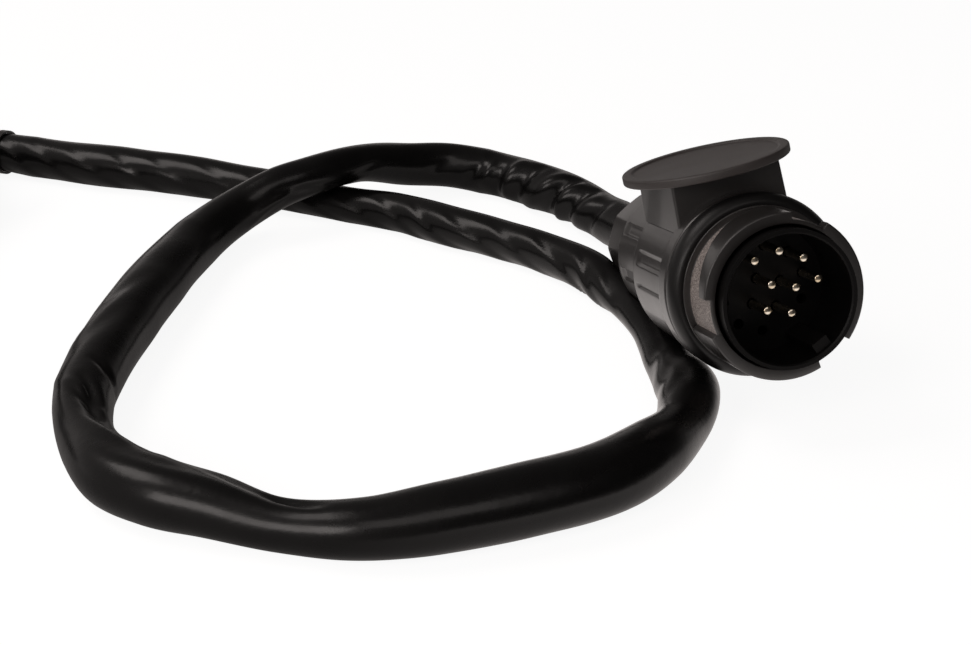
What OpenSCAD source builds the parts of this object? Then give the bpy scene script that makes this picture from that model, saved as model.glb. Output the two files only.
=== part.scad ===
// Round thirteen-way trailer plug with a turning bayonet shell, on a soft sleeved lead.
// Every plug piece is drawn on the plug's own axis: z = 0 is the rim of the contact shroud,
// the front looks along +z, the grip plate stands towards +y, and depths run towards -z.
// posed() then lays the plug down as it rests: on its gland nut, with its shell on the lead.

/* [Pose on the ground] */
// Angle by which the front of the plug is lifted off the ground
lie_pitch = 15; // [5:0.5:25]
// Angle by which the grip plate leans over sideways
handle_roll = 10; // [0:0.5:20]

/* [Contact insert] */
// Bore of the shroud round the contacts
shroud_bore = 35; // [33:0.1:37]
// Wall of the shroud
shroud_wall = 1.4; // [1:0.1:2]
// Length by which the shroud stands out of the bayonet collar
shroud_proud = 3.9; // [2:0.1:6]
// Depth from the shroud's rim to the face that carries the contacts
face_depth = 19; // [15:0.5:22]
// Thickness of the insulating block behind that face
block_t = 12; // [9:0.5:15]
// Length of the block's spigot in the core barrel
spigot_len = 2; // [1:0.5:4]
// Width of the keying rib in the shroud
key_w = 4.8; // [3:0.1:6]
// Height of the keying rib above the shroud's bore
key_h = 3.1; // [2:0.1:4]
// Direction of the keying rib, from the +x side
key_angle = -66; // [-90:1:-40]
// Circle of the outer contacts, as a share of the shroud's bore
outer_ring_share = 0.68; // [0.63:0.01:0.71]
// Offset of the inner circle towards the keying rib
inner_shift = 1.5; // [1:0.1:2]
// Depth of the O-ring behind the contact face
o_ring_behind = 7; // [5:0.5:9]

/* [Contacts] */
// Diameter of a contact pin
pin_d = 2.5; // [2:0.1:2.8]
// Depth of the pin tips below the shroud's rim
pin_recess = 6.7; // [4:0.1:9]
// Diameter of the screw terminal behind a pin
terminal_d = 4.2; // [3.6:0.1:4.8]
// Length of the screw terminal
terminal_len = 10; // [8:0.5:13]
// Diameter of a terminal screw
terminal_screw_d = 1.6; // [1.2:0.1:2]
// Depth of a cavity that holds no contact
cavity_depth = 8; // [4:0.5:8.5]
// Depth of the wire's hole in a screw terminal
wire_hole_depth = 6.5; // [5:0.5:8]

/* [Bayonet collar] */
// Running gap between the turning shell and the core
turn_gap = 0.6; // [0.4:0.05:0.9]
// Wall of the collar between its lugs
collar_wall = 1.3; // [1:0.1:1.8]
// Height of the lugs
lug_h = 1.85; // [1.2:0.05:2.4]
// Angle that one lug takes up
lug_span = 93; // [80:1:100]
// Length of the collar ahead of its lip
collar_len = 15.8; // [13:0.1:18]
// Thickness of a lug where the socket's lug slips in
ramp_thin = 4; // [3:0.1:6]
// Slot left behind a lug at its stop
ramp_slot = 0.9; // [0.6:0.1:2]
// Thickness of the lip behind the lugs
lip_t = 0.8; // [0.6:0.1:1.2]

/* [Face seal] */
// Radius of the seal's round section
seal_r = 4.4; // [3.6:0.1:4.6]
// Height of the seat that carries the seal, above the collar's wall
seal_seat = 0.4; // [0.2:0.1:0.8]
// Length by which the flange's lip covers the seal
seal_cover = 2; // [1:0.1:2.4]

/* [Grip housing] */
// Diameter of the flange behind the seal
flange_d = 51.2; // [50:0.1:54]
// Thickness of the flange
flange_t = 4; // [3:0.1:5]
// Diameter of the housing
body_d = 48; // [47:0.1:49]
// Length of the housing behind its flange
body_len = 27.5; // [26:0.1:32]
// Thickness of the shoulder ring that traps the shell on the core
thrust_t = 3; // [2:0.1:4]
// Height of the shoulder ring above the core
thrust_h = 1.9; // [1.2:0.1:2.1]
// Axial play of the shell on the shoulder ring and the rear cap
play = 0.3; // [0.2:0.05:0.5]
// Width of the neck under the grip plate
neck_w = 33; // [28:0.5:36]
// Wall of the hollow neck
neck_wall = 2.6; // [2:0.1:4]
// Diameter of the grip plate
plate_d = 48; // [42:0.5:54]
// Thickness of the grip plate
plate_t = 2.5; // [2:0.1:3.5]
// Height of the grip plate's top above the plug's axis
plate_top = 34.1; // [33:0.1:38]
// Width of the raised border of the grip plate
plate_border = 2.6; // [1.5:0.1:4]
// Depth of the grip plate's sunken middle
plate_sink = 0.5; // [0.3:0.1:0.8]
// Depth of the finger grooves in the housing
panel_depth = 0.8; // [0.5:0.1:1.6]

/* [Core barrel and rear cap] */
// Wall of the core barrel
barrel_wall = 3; // [2:0.1:3.5]
// Length of the barrel's spigot in the rear cap
barrel_spigot = 7.5; // [5:0.5:10]
// Diameter of the rear cap
cap_d = 40.6; // [40.2:0.1:44]
// Length of the rear cap's full diameter
cap_len = 26; // [25:0.5:29]
// Length of the rear cap's taper
cap_taper = 1.5; // [1:0.1:5]
// Thickness of the rear cap's floor behind the cable clamp
cap_floor_t = 6; // [4:0.5:8]
// Depth of the grip grooves round the rear cap
pocket_depth = 0.9; // [0.6:0.1:1.3]
// Width of one grip groove
pocket_w = 3.6; // [2.5:0.1:5]
// Count of the grip grooves
pocket_count = 9; // [6:1:12]
// Thickness of the two cable clamp saddles
clamp_t = 8; // [6:0.5:9]

/* [Cable gland] */
// Diameter of the gland nut across its corners
nut_d = 34.4; // [33:0.1:37]
// Length of the gland nut
nut_len = 20; // [17:0.5:22]
// Count of the gland nut's flats
nut_flats = 10; // [8:1:12]
// Wall of the nut behind the gland seal
nut_wall = 4.5; // [3:0.1:5]
// Diameter of the thread that carries the nut
thread_d = 26.8; // [26:0.1:27.5]
// Diameter of the rubber gland seal
gland_d = 20.2; // [18:0.1:21]
// Thickness of the washer behind the gland seal
washer_t = 1; // [0.8:0.1:2]

/* [Wires and sleeve] */
// Diameter of an insulated core
wire_d = 2.1; // [1.6:0.1:2.3]
// Radius of the ring in which the cores run through the gland
bundle_r = 3.4; // [3.1:0.1:3.6]
// Straight length of a core at its terminal and at the clamp
wire_lead = 4; // [3:0.5:6]
// Width of the soft sleeve where it is neither pinched nor swollen
sleeve_w = 16; // [15:0.1:16.2]
// Height of one turn of the coiled sleeve
coil_layer = 14; // [12:0.1:15]
// Thickness of the cable ties
tie_t = 0.8; // [0.7:0.1:1]
// Width of the cable ties
tie_w = 2.8; // [2.5:0.1:3.6]

/* [Hidden] */
$fn = 96;

black_pa = "#1c1b1b";
black_rubber = "#141414";
black_pvc = "#101010";
nickel = "#c9bda6";

// Overshoot of a cutter past the face that it opens
cut = 1;
// Radial room between a contact and its cavity
contact_room = 0.05;
// Radial room between pieces that slide into each other by hand
slip = 0.1;
// Step behind the bare nose of the shroud, and the nose's length
relief = 0.4;
nose_len = shroud_proud - 0.5;
// Radius of a contact inside the block, and how far its shoulder stands out of the face
shank_r = pin_d / 2 + 0.25;
shank_proud = 0.5;

outer_ring_r = outer_ring_share * shroud_bore / 2;
inner_ring_r = shroud_bore / 7;
shroud_r = shroud_bore / 2 + shroud_wall;
shell_bore_r = shroud_r + turn_gap;
collar_r = shell_bore_r + collar_wall;
lug_r = collar_r + lug_h;
lug_count = 3;

// Depths from the shroud's rim, front to back
collar_front = shroud_proud;
lip_front = collar_front + collar_len;
seal_front = lip_front + lip_t;
seal_mid = lip_front + seal_r + 0.2;
flange_front = seal_mid + seal_r;
flange_back = flange_front + flange_t;
lip_at = flange_front - seal_cover;
body_back = flange_back + body_len;
block_back = face_depth + block_t;
spigot_back = block_back + spigot_len;
terminal_back = spigot_back + terminal_len;
thrust_front = flange_back + play;
thrust_back = thrust_front + thrust_t;
collar_back = thrust_front - play;
cap_front = body_back + play;
cap_rear = cap_front + cap_len;
taper_rear = cap_rear + cap_taper;
nut_front = taper_rear + 0.5;
nut_back = nut_front + nut_len;
nut_inner_back = nut_back - nut_wall;
washer_front = nut_inner_back - washer_t;
chamber_back = cap_rear - cap_floor_t;
clamp_back = chamber_back;
clamp_front = clamp_back - clamp_t;

seat_r = collar_r + seal_seat;
spigot_r = seat_r + 0.6;
barrel_bore_r = shroud_r - barrel_wall;
thrust_r = shroud_r + thrust_h;
barrel_tail_r = shroud_r - 1.3;
gland_r = gland_d / 2;
sleeve_hole_r = sleeve_w / 2 + 0.5;
nut_chamfer = 1.5;
nut_apothem = nut_d / 2 * cos(180 / nut_flats);

neck_front = flange_front + 1.7;
neck_back = body_back;
neck_mid = (neck_front + neck_back) / 2;
neck_top = plate_top - plate_t;

// Ground level under the posed plug, where the last full flat of the gland nut touches it
ground = -((nut_back - nut_chamfer) * sin(lie_pitch) + nut_apothem * cos(lie_pitch));

// Outer contacts sit on a ten-part circle whose tenth place is the keying rib
outer_step = 360 / 10;
fitted_outer = [5, 4, 3, 2];
empty_outer = [1, 6, 7, 8, 9];
function outer_at(k) = let (q = key_angle + outer_step * k)
  outer_ring_r * [cos(q), sin(q), 0];
function inner_at(k) = let (q = key_angle + 90 * k)
  inner_shift * [cos(key_angle), sin(key_angle), 0] + inner_ring_r * [cos(q), sin(q), 0];
contact_xy = concat([for (k = fitted_outer) outer_at(k)], [for (k = [2, 1, 3, 0]) inner_at(k)]);
empty_xy = [for (k = empty_outer) outer_at(k)];
contact_count = len(contact_xy);
// Place of each core in the ring of the bundle, chosen so that no two cores cross
bundle_angle = [135, 90, 45, 0, 180, -45, 225, -90];

// Route of the sleeve after the nut: x, y, height of its middle above the ground, and its width
// as a share of the free width. It is as thick as it is wide, but no thicker than the ground and
// the plug above it leave room for.
route = [
  [0, 120, 11.5, 0.94], [-1.5, 133, 9, 1.02], [-5, 149, 7.7, 1.06], [-11, 166, 8, 1.08],
  [-19.5, 179, 8.2, 1.1], [-31, 195, 8, 1.08], [-46.5, 206, 8.5, 1.04], [-66, 200.5, 13, 0.97],
  [-81, 192, 18, 0.86], [-92, 184.5, 20, 0.84], [-104, 179, 19.5, 0.88], [-117, 175.5, 17, 0.92],
  [-131, 170.5, 12, 0.98], [-145.5, 155.5, 9, 1.1], [-160, 126, 9, 1.23], [-173.5, 92, 9, 1.22],
  [-181.5, 66, 8.6, 1.16], [-184, 49, 8, 1.08], [-183, 31, 7.6, 1.04], [-177.5, 10, 8.8, 1.25],
  [-168, -1.5, 8.8, 1.23], [-155.5, -9, 8, 1.18], [-138, -18, 6.8, 0.97], [-118, -26.5, 8, 1.1],
  [-98, -28, 8.7, 1.19], [-77.5, -26.5, 9, 1.25], [-56.5, -22, 9.2, 1.28], [-40.5, -13, 8.7, 1.18],
  [-26, 2, 7, 0.96], [-21, 14, 7.5, 1.04], [-18.5, 26, 7, 1.14], [-17, 42, 5, 1.06],
  [-14.5, 54, 3.7, 0.82], [-14, 67, 3.4, 0.68], [-17.9, 82, 3.6, 0.68], [-21, 96, 5.4, 0.8],
  [-22.7, 107.5, 6.6, 0.88], [-31, 126, 6.8, 0.9], [-43.5, 141, 6.8, 0.92],
  [-58.5, 154.5, 7, 0.95], [-74, 169.5, 6.8, 0.9], [-90, 182, 6.3, 0.84], [-106, 194.5, 6.8, 0.9],
  [-123, 207.5, 7, 0.96], [-140, 219, 7.4, 1], [-158, 229.5, 7.6, 1.02], [-176, 239, 7.8, 1.05],
  [-195, 251, 7.6, 1], [-212, 261, 8.3, 0.92], [-223, 267.5, 7.6, 0.98]
];
// Middle of the coil and radius at the middle of its turns
coil_mid = [-311, 222];
coil_mean_r = 84;
coil_layers = 2;
// Directions from the coil's middle to its tie and to the stripped end
coil_tie_angle = 200;
coil_end_angle = 341;
core_end_len = 38;
// Place on the route of the tie that the sleeve wears near its far end
edge_tie_index = len(route) - 2;
// Direction of the first grip groove, and direction and half width of the finger grooves
pocket_at = 142;
finger_grooves = [[157.5, 5], [177.5, 1.6]];
// Room between a tie and the sleeve in it
tie_room = 0.1;

function on_ground(p) = [p[0], p[1], ground + p[2]];
function on_axis(depth) = [0, depth * cos(lie_pitch), -depth * sin(lie_pitch)];
sleeve_path = concat([on_axis(nut_inner_back), on_axis(nut_back)], [for (p = route) on_ground(p)]);

function unit(v) = v / norm(v);
function heading(path, i) = unit(path[min(i + 1, len(path) - 1)] - path[max(i - 1, 0)]);
// Half width and half thickness of the sleeve at each point of its path
sleeve_half_w = concat([0.9, 0.9], [for (p = route) p[3]]) * sleeve_w / 2;
sleeve_half_t = [for (i = [0:len(sleeve_path) - 1]) min(sleeve_half_w[i], sleeve_path[i][2] - ground)];

// One ring of an oval tube: half width a across the heading, half thickness b towards up
function oval_ring(path, i, a, b, up, sides) =
  let (d = heading(path, i), s = unit(cross(d, up)), u = cross(s, d))
  [for (k = [0:sides - 1]) path[i] + s * a * cos(360 * k / sides) + u * b * sin(360 * k / sides)];

// Tube swept along a path, with a half width and a half thickness for each point
module swept(path, half_w, half_t, up, sides) {
  last = len(path) - 1;
  points = [for (i = [0:last]) each oval_ring(path, i, half_w[i], half_t[i], up, sides)];
  sides_faces = [
    for (i = [0:last - 1]) for (k = [0:sides - 1]) let (n = (k + 1) % sides)
      [i * sides + k, i * sides + n, (i + 1) * sides + n, (i + 1) * sides + k]
  ];
  front_cap = [for (k = [sides - 1:-1:0]) k];
  back_cap = [for (k = [0:sides - 1]) last * sides + k];
  polyhedron(points = points, faces = concat([front_cap, back_cap], sides_faces));
}

// Round bar on the plug's axis between two depths
module rod(r, near, far) translate([0, 0, -far]) cylinder(r = r, h = far - near);

// Tube on the plug's axis between two depths
module pipe(r_out, r_in, near, far) difference() {
  rod(r_out, near, far);
  rod(r_in, near - cut, far + cut);
}

// Revolved piece from a list of [radius, depth] corners
module turned(profile) rotate_extrude() polygon([for (p = profile) [p[0], -p[1]]]);

// Lays the plug down on the ground as it rests
module posed() rotate([90 - lie_pitch, 0, 0]) rotate([0, 0, handle_roll]) children();

// Undoes the lean of the grip plate for pieces that are set square to the ground
module square_to_ground() rotate([0, 0, -handle_roll]) children();

module contact_insert() color(black_pa) posed() difference() {
  union() {
    turned([
      [0, face_depth], [shroud_bore / 2, face_depth], [shroud_bore / 2, 0.4],
      [shroud_bore / 2 + 0.4, 0], [shroud_r, 0], [shroud_r, nose_len],
      [shroud_r - relief, nose_len], [shroud_r - relief, block_back],
      [barrel_bore_r - slip, block_back], [barrel_bore_r - slip, spigot_back], [0, spigot_back]
    ]);
    keying_rib();
  }
  for (p = contact_xy) translate(p) rod(shank_r + contact_room, face_depth - cut, spigot_back + cut);
  for (p = empty_xy) translate(p) rod(pin_d / 2 + 0.2, face_depth - cut, face_depth + cavity_depth);
  o_ring_groove();
}

// Rib that lets the plug into its socket one way round
module keying_rib() intersection() {
  rotate([0, 0, key_angle])
    translate([shroud_bore / 2 - key_h, -key_w / 2, -face_depth - cut])
      cube([key_h + shroud_wall / 2, key_w, face_depth + cut - 1]);
  rod(shroud_bore / 2 + shroud_wall / 2, 0, face_depth + cut);
}

o_ring_r = 0.75;
o_ring_depth = face_depth + o_ring_behind;
o_ring_mid_r = shell_bore_r - play - o_ring_r;

module o_ring_groove() rotate_extrude()
  translate([o_ring_mid_r - o_ring_r, -o_ring_depth - o_ring_r]) square([3 * o_ring_r, 2 * o_ring_r]);

module insert_o_ring() color(black_rubber) posed() rotate_extrude()
  translate([o_ring_mid_r, -o_ring_depth]) circle(r = o_ring_r, $fn = 32);

// Pin with a round tip in front and a drilled screw terminal behind
module contact_pin(i) color(nickel) posed() difference() {
  translate(contact_xy[i - 1]) {
    translate([0, 0, -pin_recess - pin_d / 2]) sphere(d = pin_d, $fn = 48);
    rod(pin_d / 2, pin_recess + pin_d / 2, face_depth - shank_proud);
    rod(shank_r, face_depth - shank_proud, spigot_back);
    rod(terminal_d / 2, spigot_back, terminal_back);
  }
  translate(contact_xy[i - 1]) rod(wire_d / 2 - 0.25, terminal_back - wire_hole_depth, terminal_back + cut);
  terminal_screw_way(i, 0, terminal_screw_d / 2);
}

terminal_screw_depth = spigot_back + terminal_d;

// Radial way of one terminal screw, from the pin's middle plus a start, outwards
module terminal_screw_way(i, start, r) {
  p = contact_xy[i - 1];
  translate([p[0], p[1], -terminal_screw_depth])
    rotate([0, 90, atan2(p[1], p[0])]) translate([0, 0, start]) cylinder(r = r, h = terminal_d, $fn = 32);
}

module terminal_screws() color(nickel) posed() for (i = [1:contact_count])
  intersection() {
    terminal_screw_way(i, terminal_d / 4, terminal_screw_d / 2);
    translate(contact_xy[i - 1]) rod(terminal_d / 2 + 0.5, spigot_back, terminal_back);
  }

module core_barrel() color(black_pa) posed() difference() {
  union() {
    rod(shroud_r - relief, block_back, cap_front);
    rod(thrust_r, thrust_front, thrust_back);
    rod(barrel_tail_r, cap_front - cut, cap_front + barrel_spigot);
  }
  rod(barrel_bore_r, block_back - cut, cap_front + barrel_spigot + cut);
}

// Path of one core from its terminal to the mouth of the gland
function wire_path(i) =
  let (p = contact_xy[i - 1], q = bundle_angle[i - 1], e = bundle_r * [cos(q), sin(q), 0])
  [
    p - [0, 0, terminal_back], p - [0, 0, terminal_back + wire_lead],
    (2 * p + e) / 3 - [0, 0, (2 * terminal_back + clamp_front + wire_lead) / 3],
    (p + 2 * e) / 3 - [0, 0, (terminal_back + 2 * clamp_front) / 3],
    e - [0, 0, clamp_front - wire_lead], e - [0, 0, clamp_back], e - [0, 0, nut_inner_back]
  ];

module core_wires() color("#6b4a2f") posed() for (i = [1:contact_count]) {
  half = [for (p = wire_path(i)) wire_d / 2];
  swept(wire_path(i), half, half, [0, 1, 0], 8);
}

bundle_hole_r = bundle_r + wire_d / 2 + 0.3;
clamp_split = 0.3;
clamp_screw_x = 10.5;
clamp_screw_r = 1.3;

// One saddle of the cable clamp, above or below the split
module clamp_saddle(side) difference() {
  rod(barrel_bore_r - slip, clamp_front, clamp_back);
  rod(bundle_hole_r, clamp_front - cut, clamp_back + cut);
  translate([-barrel_bore_r, side > 0 ? -2 * barrel_bore_r + clamp_split : -clamp_split, -clamp_back - cut])
    cube([2 * barrel_bore_r, 2 * barrel_bore_r, clamp_t + 2 * cut]);
  for (x = [-clamp_screw_x, clamp_screw_x]) clamp_screw_way(x, clamp_screw_r + contact_room);
}

// Way of one clamp screw through both saddles
module clamp_screw_way(x, r) translate([x, 0, -(clamp_front + clamp_back) / 2])
  rotate([90, 0, 0]) cylinder(r = r, h = 2 * barrel_bore_r, center = true, $fn = 32);

module clamp_lower() color(black_pa) posed() square_to_ground() clamp_saddle(-1);

module clamp_upper() color(black_pa) posed() square_to_ground() clamp_saddle(1);

module clamp_screws() color(nickel) posed() square_to_ground() intersection() {
  for (x = [-clamp_screw_x, clamp_screw_x]) clamp_screw_way(x, clamp_screw_r);
  rod(barrel_bore_r - 1, clamp_front, clamp_back);
}

module rear_cap() color(black_pa) posed() difference() {
  turned([
    [0, cap_front], [cap_d / 2 - 0.6, cap_front], [cap_d / 2, cap_front + 0.6], [cap_d / 2, cap_rear],
    [nut_apothem, taper_rear], [thread_d / 2, taper_rear], [thread_d / 2, washer_front - 0.6],
    [0, washer_front - 0.6]
  ]);
  rod(barrel_tail_r + slip, cap_front - cut, cap_front + barrel_spigot + 0.2);
  rod(barrel_bore_r, cap_front, chamber_back);
  rod(bundle_hole_r, chamber_back - cut, washer_front);
  rod(gland_r, cap_rear + 1, washer_front + cut);
  for (k = [0:pocket_count - 1]) rotate([0, 0, pocket_at + 360 * k / pocket_count]) grip_pocket();
}

// Flat-bottomed groove along the rear cap
module grip_pocket() translate([cap_d / 2 - pocket_depth, -pocket_w / 2, -cap_rear + 2])
  cube([2 * pocket_depth, pocket_w, cap_len - 4]);

module gland_seal() color(black_rubber) posed()
  pipe(gland_r - slip, bundle_hole_r, cap_rear + 1, washer_front);

module gland_washer() color(nickel) posed()
  pipe(gland_r - slip, bundle_hole_r, washer_front, nut_inner_back);

module gland_nut() color(black_pa) posed() difference() {
  intersection() {
    square_to_ground() translate([0, 0, -nut_back]) cylinder(d = nut_d, h = nut_len, $fn = nut_flats);
    turned([
      [0, nut_front - cut], [nut_d, nut_front - cut], [nut_d, nut_back - nut_chamfer - nut_d / 2],
      [nut_d / 2 - nut_chamfer - cut, nut_back + cut], [0, nut_back + cut]
    ]);
  }
  rod(thread_d / 2 + slip, nut_front - cut, nut_inner_back);
  rod(sleeve_hole_r, nut_inner_back - cut, nut_back + cut);
}

// Helical wedge cut away behind one lug, so that the lug draws the plug in as it turns
module ramp_cutter() {
  steps = 14;
  inner = collar_r - collar_wall;
  outer = lug_r + lug_h;
  thick_end = collar_len - ramp_slot;
  // The wedge runs on past both ends of the lug
  at = [for (i = [0:steps]) 1.2 * i / steps - 0.1];
  points = [
    for (t = at) let (q = lug_span * (0.5 - t), d = collar_front + ramp_thin + (thick_end - ramp_thin) * t)
      each [
        [inner * cos(q), inner * sin(q), -d], [outer * cos(q), outer * sin(q), -d],
        [outer * cos(q), outer * sin(q), -lip_front - 2 * cut], [inner * cos(q), inner * sin(q), -lip_front - 2 * cut]
      ]
  ];
  side_faces = [
    for (i = [0:steps - 1]) for (k = [0:3]) let (n = (k + 1) % 4)
      each [[4 * i + k, 4 * i + n, 4 * i + 4 + n], [4 * i + k, 4 * i + 4 + n, 4 * i + 4 + k]]
  ];
  polyhedron(points = points, faces = concat([[3, 2, 1, 0], [for (k = [0:3]) 4 * steps + k]], side_faces));
}

// One bayonet lug with its ramp, centred on the +x side
module bayonet_lug() difference() {
  rotate([0, 0, -lug_span / 2]) rotate_extrude(angle = lug_span)
    translate([collar_r - collar_wall / 2, -lip_front])
      square([lug_h + collar_wall / 2, collar_len]);
  ramp_cutter();
}

module bayonet_collar() color(black_pa) posed() difference() {
  union() {
    turned([
      [0, collar_front], [collar_r, collar_front], [collar_r, lip_front], [lug_r, lip_front],
      [lug_r, seal_front], [seat_r, seal_front], [seat_r, flange_front], [spigot_r, flange_front],
      [spigot_r, collar_back], [0, collar_back]
    ]);
    for (k = [0:lug_count - 1]) rotate([0, 0, 360 / lug_count * k]) bayonet_lug();
  }
  rod(shell_bore_r, collar_front - cut, collar_back + cut);
}

module face_seal() color(black_rubber) posed() difference() {
  rotate_extrude() translate([seal_ring_r, -seal_mid]) circle(r = seal_r, $fn = 64);
  rod(seat_r, seal_front - cut, flange_front + cut);
  rod(flange_d, lip_front - cut, seal_front);
  rod(flange_d, flange_front, flange_front + seal_r);
}

// Radius of the seal's middle, and of the seal where the flange's lip meets it
seal_ring_r = collar_r + lug_h / 3;
lip_r = seal_ring_r + sqrt(pow(seal_r, 2) - pow(lip_at - seal_mid, 2));

module grip_housing() color(black_pa) posed() difference() {
  union() {
    turned([
      [0, flange_front], [flange_d / 2 - 1, flange_front], [lip_r + 0.15, lip_at],
      [lip_r + 0.5, lip_at + 0.4], [flange_d / 2, flange_front + 0.6],
      [flange_d / 2, flange_back - 0.4], [body_d / 2, flange_back], [body_d / 2, body_back - 0.8],
      [body_d / 2 - 0.8, body_back], [0, body_back]
    ]);
    translate([-neck_w / 2, 0, -neck_back]) cube([neck_w, neck_top, neck_back - neck_front]);
  }
  neck_hollow();
  for (groove = finger_grooves) for (side = [0, 1]) mirror([side, 0, 0])
    rotate([0, 0, groove[0]]) finger_groove(groove[1]);
  rod(spigot_r, flange_front - cut, collar_back);
  rod(thrust_r + turn_gap, collar_back - cut, thrust_back + play);
  rod(shell_bore_r, flange_front, body_back + cut);
}

// Hollow of the neck, open under the grip plate
module neck_hollow() translate([-neck_w / 2 + neck_wall, body_d / 2, -neck_back + neck_wall])
  cube([neck_w - 2 * neck_wall, neck_top, neck_back - neck_front - 2 * neck_wall]);

// Shallow finger groove along the housing, with its half width in degrees
module finger_groove(half) rotate([0, 0, -half]) translate([0, 0, -flange_back - body_len + 3])
  rotate_extrude(angle = 2 * half) translate([body_d / 2 - panel_depth, 0])
    square([2 * panel_depth, body_len - 4.5]);

module grip_plate() color(black_pa) posed() translate([0, neck_top, -neck_mid]) rotate([-90, 0, 0])
  rotate_extrude() polygon([
    [0, 0], [plate_d / 2 - 0.4, 0], [plate_d / 2, 0.4], [plate_d / 2, plate_t - 0.6],
    [plate_d / 2 - 0.6, plate_t], [plate_d / 2 - plate_border, plate_t],
    [plate_d / 2 - plate_border - plate_sink, plate_t - plate_sink], [0, plate_t - plate_sink]
  ]);

module sleeve_tube() color(black_pvc) swept(sleeve_path, sleeve_half_w, sleeve_half_t, [0, 0, 1], 10);

module sleeve_coil() color(black_pvc) translate([coil_mid[0], coil_mid[1], ground])
  rotate_extrude() translate([coil_mean_r, 0]) coil_section(sleeve_w, coil_layers * coil_layer, 3);

// Upright section with rounded corners that stands on the ground
module coil_section(w, h, r) {
  translate([-w / 2, r]) square([w, h - 2 * r]);
  translate([-w / 2 + r, 0]) square([w - 2 * r, h]);
  for (x = [-w / 2 + r, w / 2 - r]) for (y = [r, h - r]) translate([x, y]) circle(r = r, $fn = 32);
}

// Flat strap round a section of width w and height h, with its locking head on top
module cable_tie(w, h) rotate([90, 0, 0]) translate([0, 0, -tie_w / 2]) {
  linear_extrude(tie_w) difference() {
    translate([-w / 2 - tie_t, 0]) square([w + 2 * tie_t, h + 2 * tie_t]);
    translate([-w / 2, tie_t]) square([w, h]);
  }
  translate([-tie_w / 2, h + 2 * tie_t, -0.7]) cube([tie_w, 3, tie_w + 1.4]);
}

// Cable tie drawn tight round the sleeve, its head on the far side
module edge_tie() color(black_pa) {
  i = edge_tie_index + 2;
  d = heading(sleeve_path, i);
  r = sleeve_half_w[i] + tie_room;
  translate(sleeve_path[i]) rotate([0, 0, atan2(d[1], d[0]) - 90]) rotate([90, 0, 0]) {
    translate([0, 0, -tie_w / 2]) difference() {
      cylinder(tie_w, r + tie_t, r + tie_t);
      translate([0, 0, -cut]) cylinder(tie_w + 2 * cut, r, r);
    }
    translate([r + tie_t / 2, -tie_w / 2, -tie_w / 2 - 0.5]) cube([2.4, tie_w, tie_w + 1]);
  }
}

module coil_tie() color(black_pa)
  translate([coil_mid[0], coil_mid[1], ground - tie_t]) rotate([0, 0, coil_tie_angle])
    translate([coil_mean_r, 0, 0])
      cable_tie(sleeve_w + 2 * tie_room, coil_layers * coil_layer + tie_room);

// Stripped ends of the cores, lying on the coil
module core_ends() color("#6b4a2f") translate([coil_mid[0], coil_mid[1], ground + coil_layers * coil_layer])
  rotate([0, 0, coil_end_angle]) translate([coil_mean_r, 0, 0])
    for (k = [-1.5:1:1.5]) translate([k * (wire_d + 0.4), 0, wire_d / 2])
      rotate([-90, 0, 0]) cylinder(d = wire_d, h = core_end_len, $fn = 24);

contact_insert();
contact_pin(1);  // contact_pin_1
contact_pin(2);  // contact_pin_2
contact_pin(3);  // contact_pin_3
contact_pin(4);  // contact_pin_4
contact_pin(5);  // contact_pin_5
contact_pin(6);  // contact_pin_6
contact_pin(7);  // contact_pin_7
contact_pin(8);  // contact_pin_8
terminal_screws();
insert_o_ring();
core_barrel();
core_wires();
clamp_lower();
clamp_upper();
clamp_screws();
rear_cap();
gland_seal();
gland_washer();
gland_nut();
bayonet_collar();
face_seal();
grip_housing();
grip_plate();
sleeve_tube();
sleeve_coil();
edge_tie();
coil_tie();
core_ends();
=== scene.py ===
"""Trailer plug on its soft sleeved lead, dressed and lit for one studio picture.

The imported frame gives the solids. Each class below holds the sizes of one sub-assembly in
millimetres, builds its meshes on the plug's own axis and lays them down with the plug.
"""

from __future__ import annotations

import logging
import math
from dataclasses import dataclass
from enum import Enum
from typing import Callable, ClassVar, Iterable, Sequence

import bmesh
import bpy
from mathutils import Matrix, Vector, noise

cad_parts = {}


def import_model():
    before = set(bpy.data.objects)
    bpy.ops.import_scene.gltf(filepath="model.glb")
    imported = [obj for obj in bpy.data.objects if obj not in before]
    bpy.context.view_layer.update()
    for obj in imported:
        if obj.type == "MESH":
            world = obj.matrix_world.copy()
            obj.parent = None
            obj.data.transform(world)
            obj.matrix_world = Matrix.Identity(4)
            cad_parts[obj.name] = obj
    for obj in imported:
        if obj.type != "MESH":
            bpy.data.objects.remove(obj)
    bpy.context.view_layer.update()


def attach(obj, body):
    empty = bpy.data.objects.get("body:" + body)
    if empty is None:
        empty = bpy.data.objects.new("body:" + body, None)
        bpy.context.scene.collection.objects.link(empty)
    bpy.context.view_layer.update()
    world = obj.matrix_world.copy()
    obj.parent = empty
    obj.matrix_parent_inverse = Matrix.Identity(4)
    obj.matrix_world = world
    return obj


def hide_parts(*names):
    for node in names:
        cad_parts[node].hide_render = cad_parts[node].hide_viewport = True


LOG = logging.getLogger("trailer_plug")

# One millimetre in metres
MM = 0.001
# Tilt of the plug's axis and roll of its grip, in degrees
LIE_PITCH = 15.0
HANDLE_ROLL = 10.0
# Height of the floor in millimetres
GROUND = -43.495
# Edges that turn further than this many degrees stay sharp
SHARP = 35.0
# Points closer than this many metres are merged
SAME_SPOT = 2e-6
# A length below this counts as none
TINY = 1e-6
# Share of the shorter side beside it that a fillet may take
FILLET_ROOM = 0.45
# Pieces in which a block's rounded edge is drawn
EDGE_STEPS = 5

Corner = tuple[float, float, float]
Point = tuple[float, float]
Spot = tuple[float, float, float]
Outline = Callable[[float], list[Point]]

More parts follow.
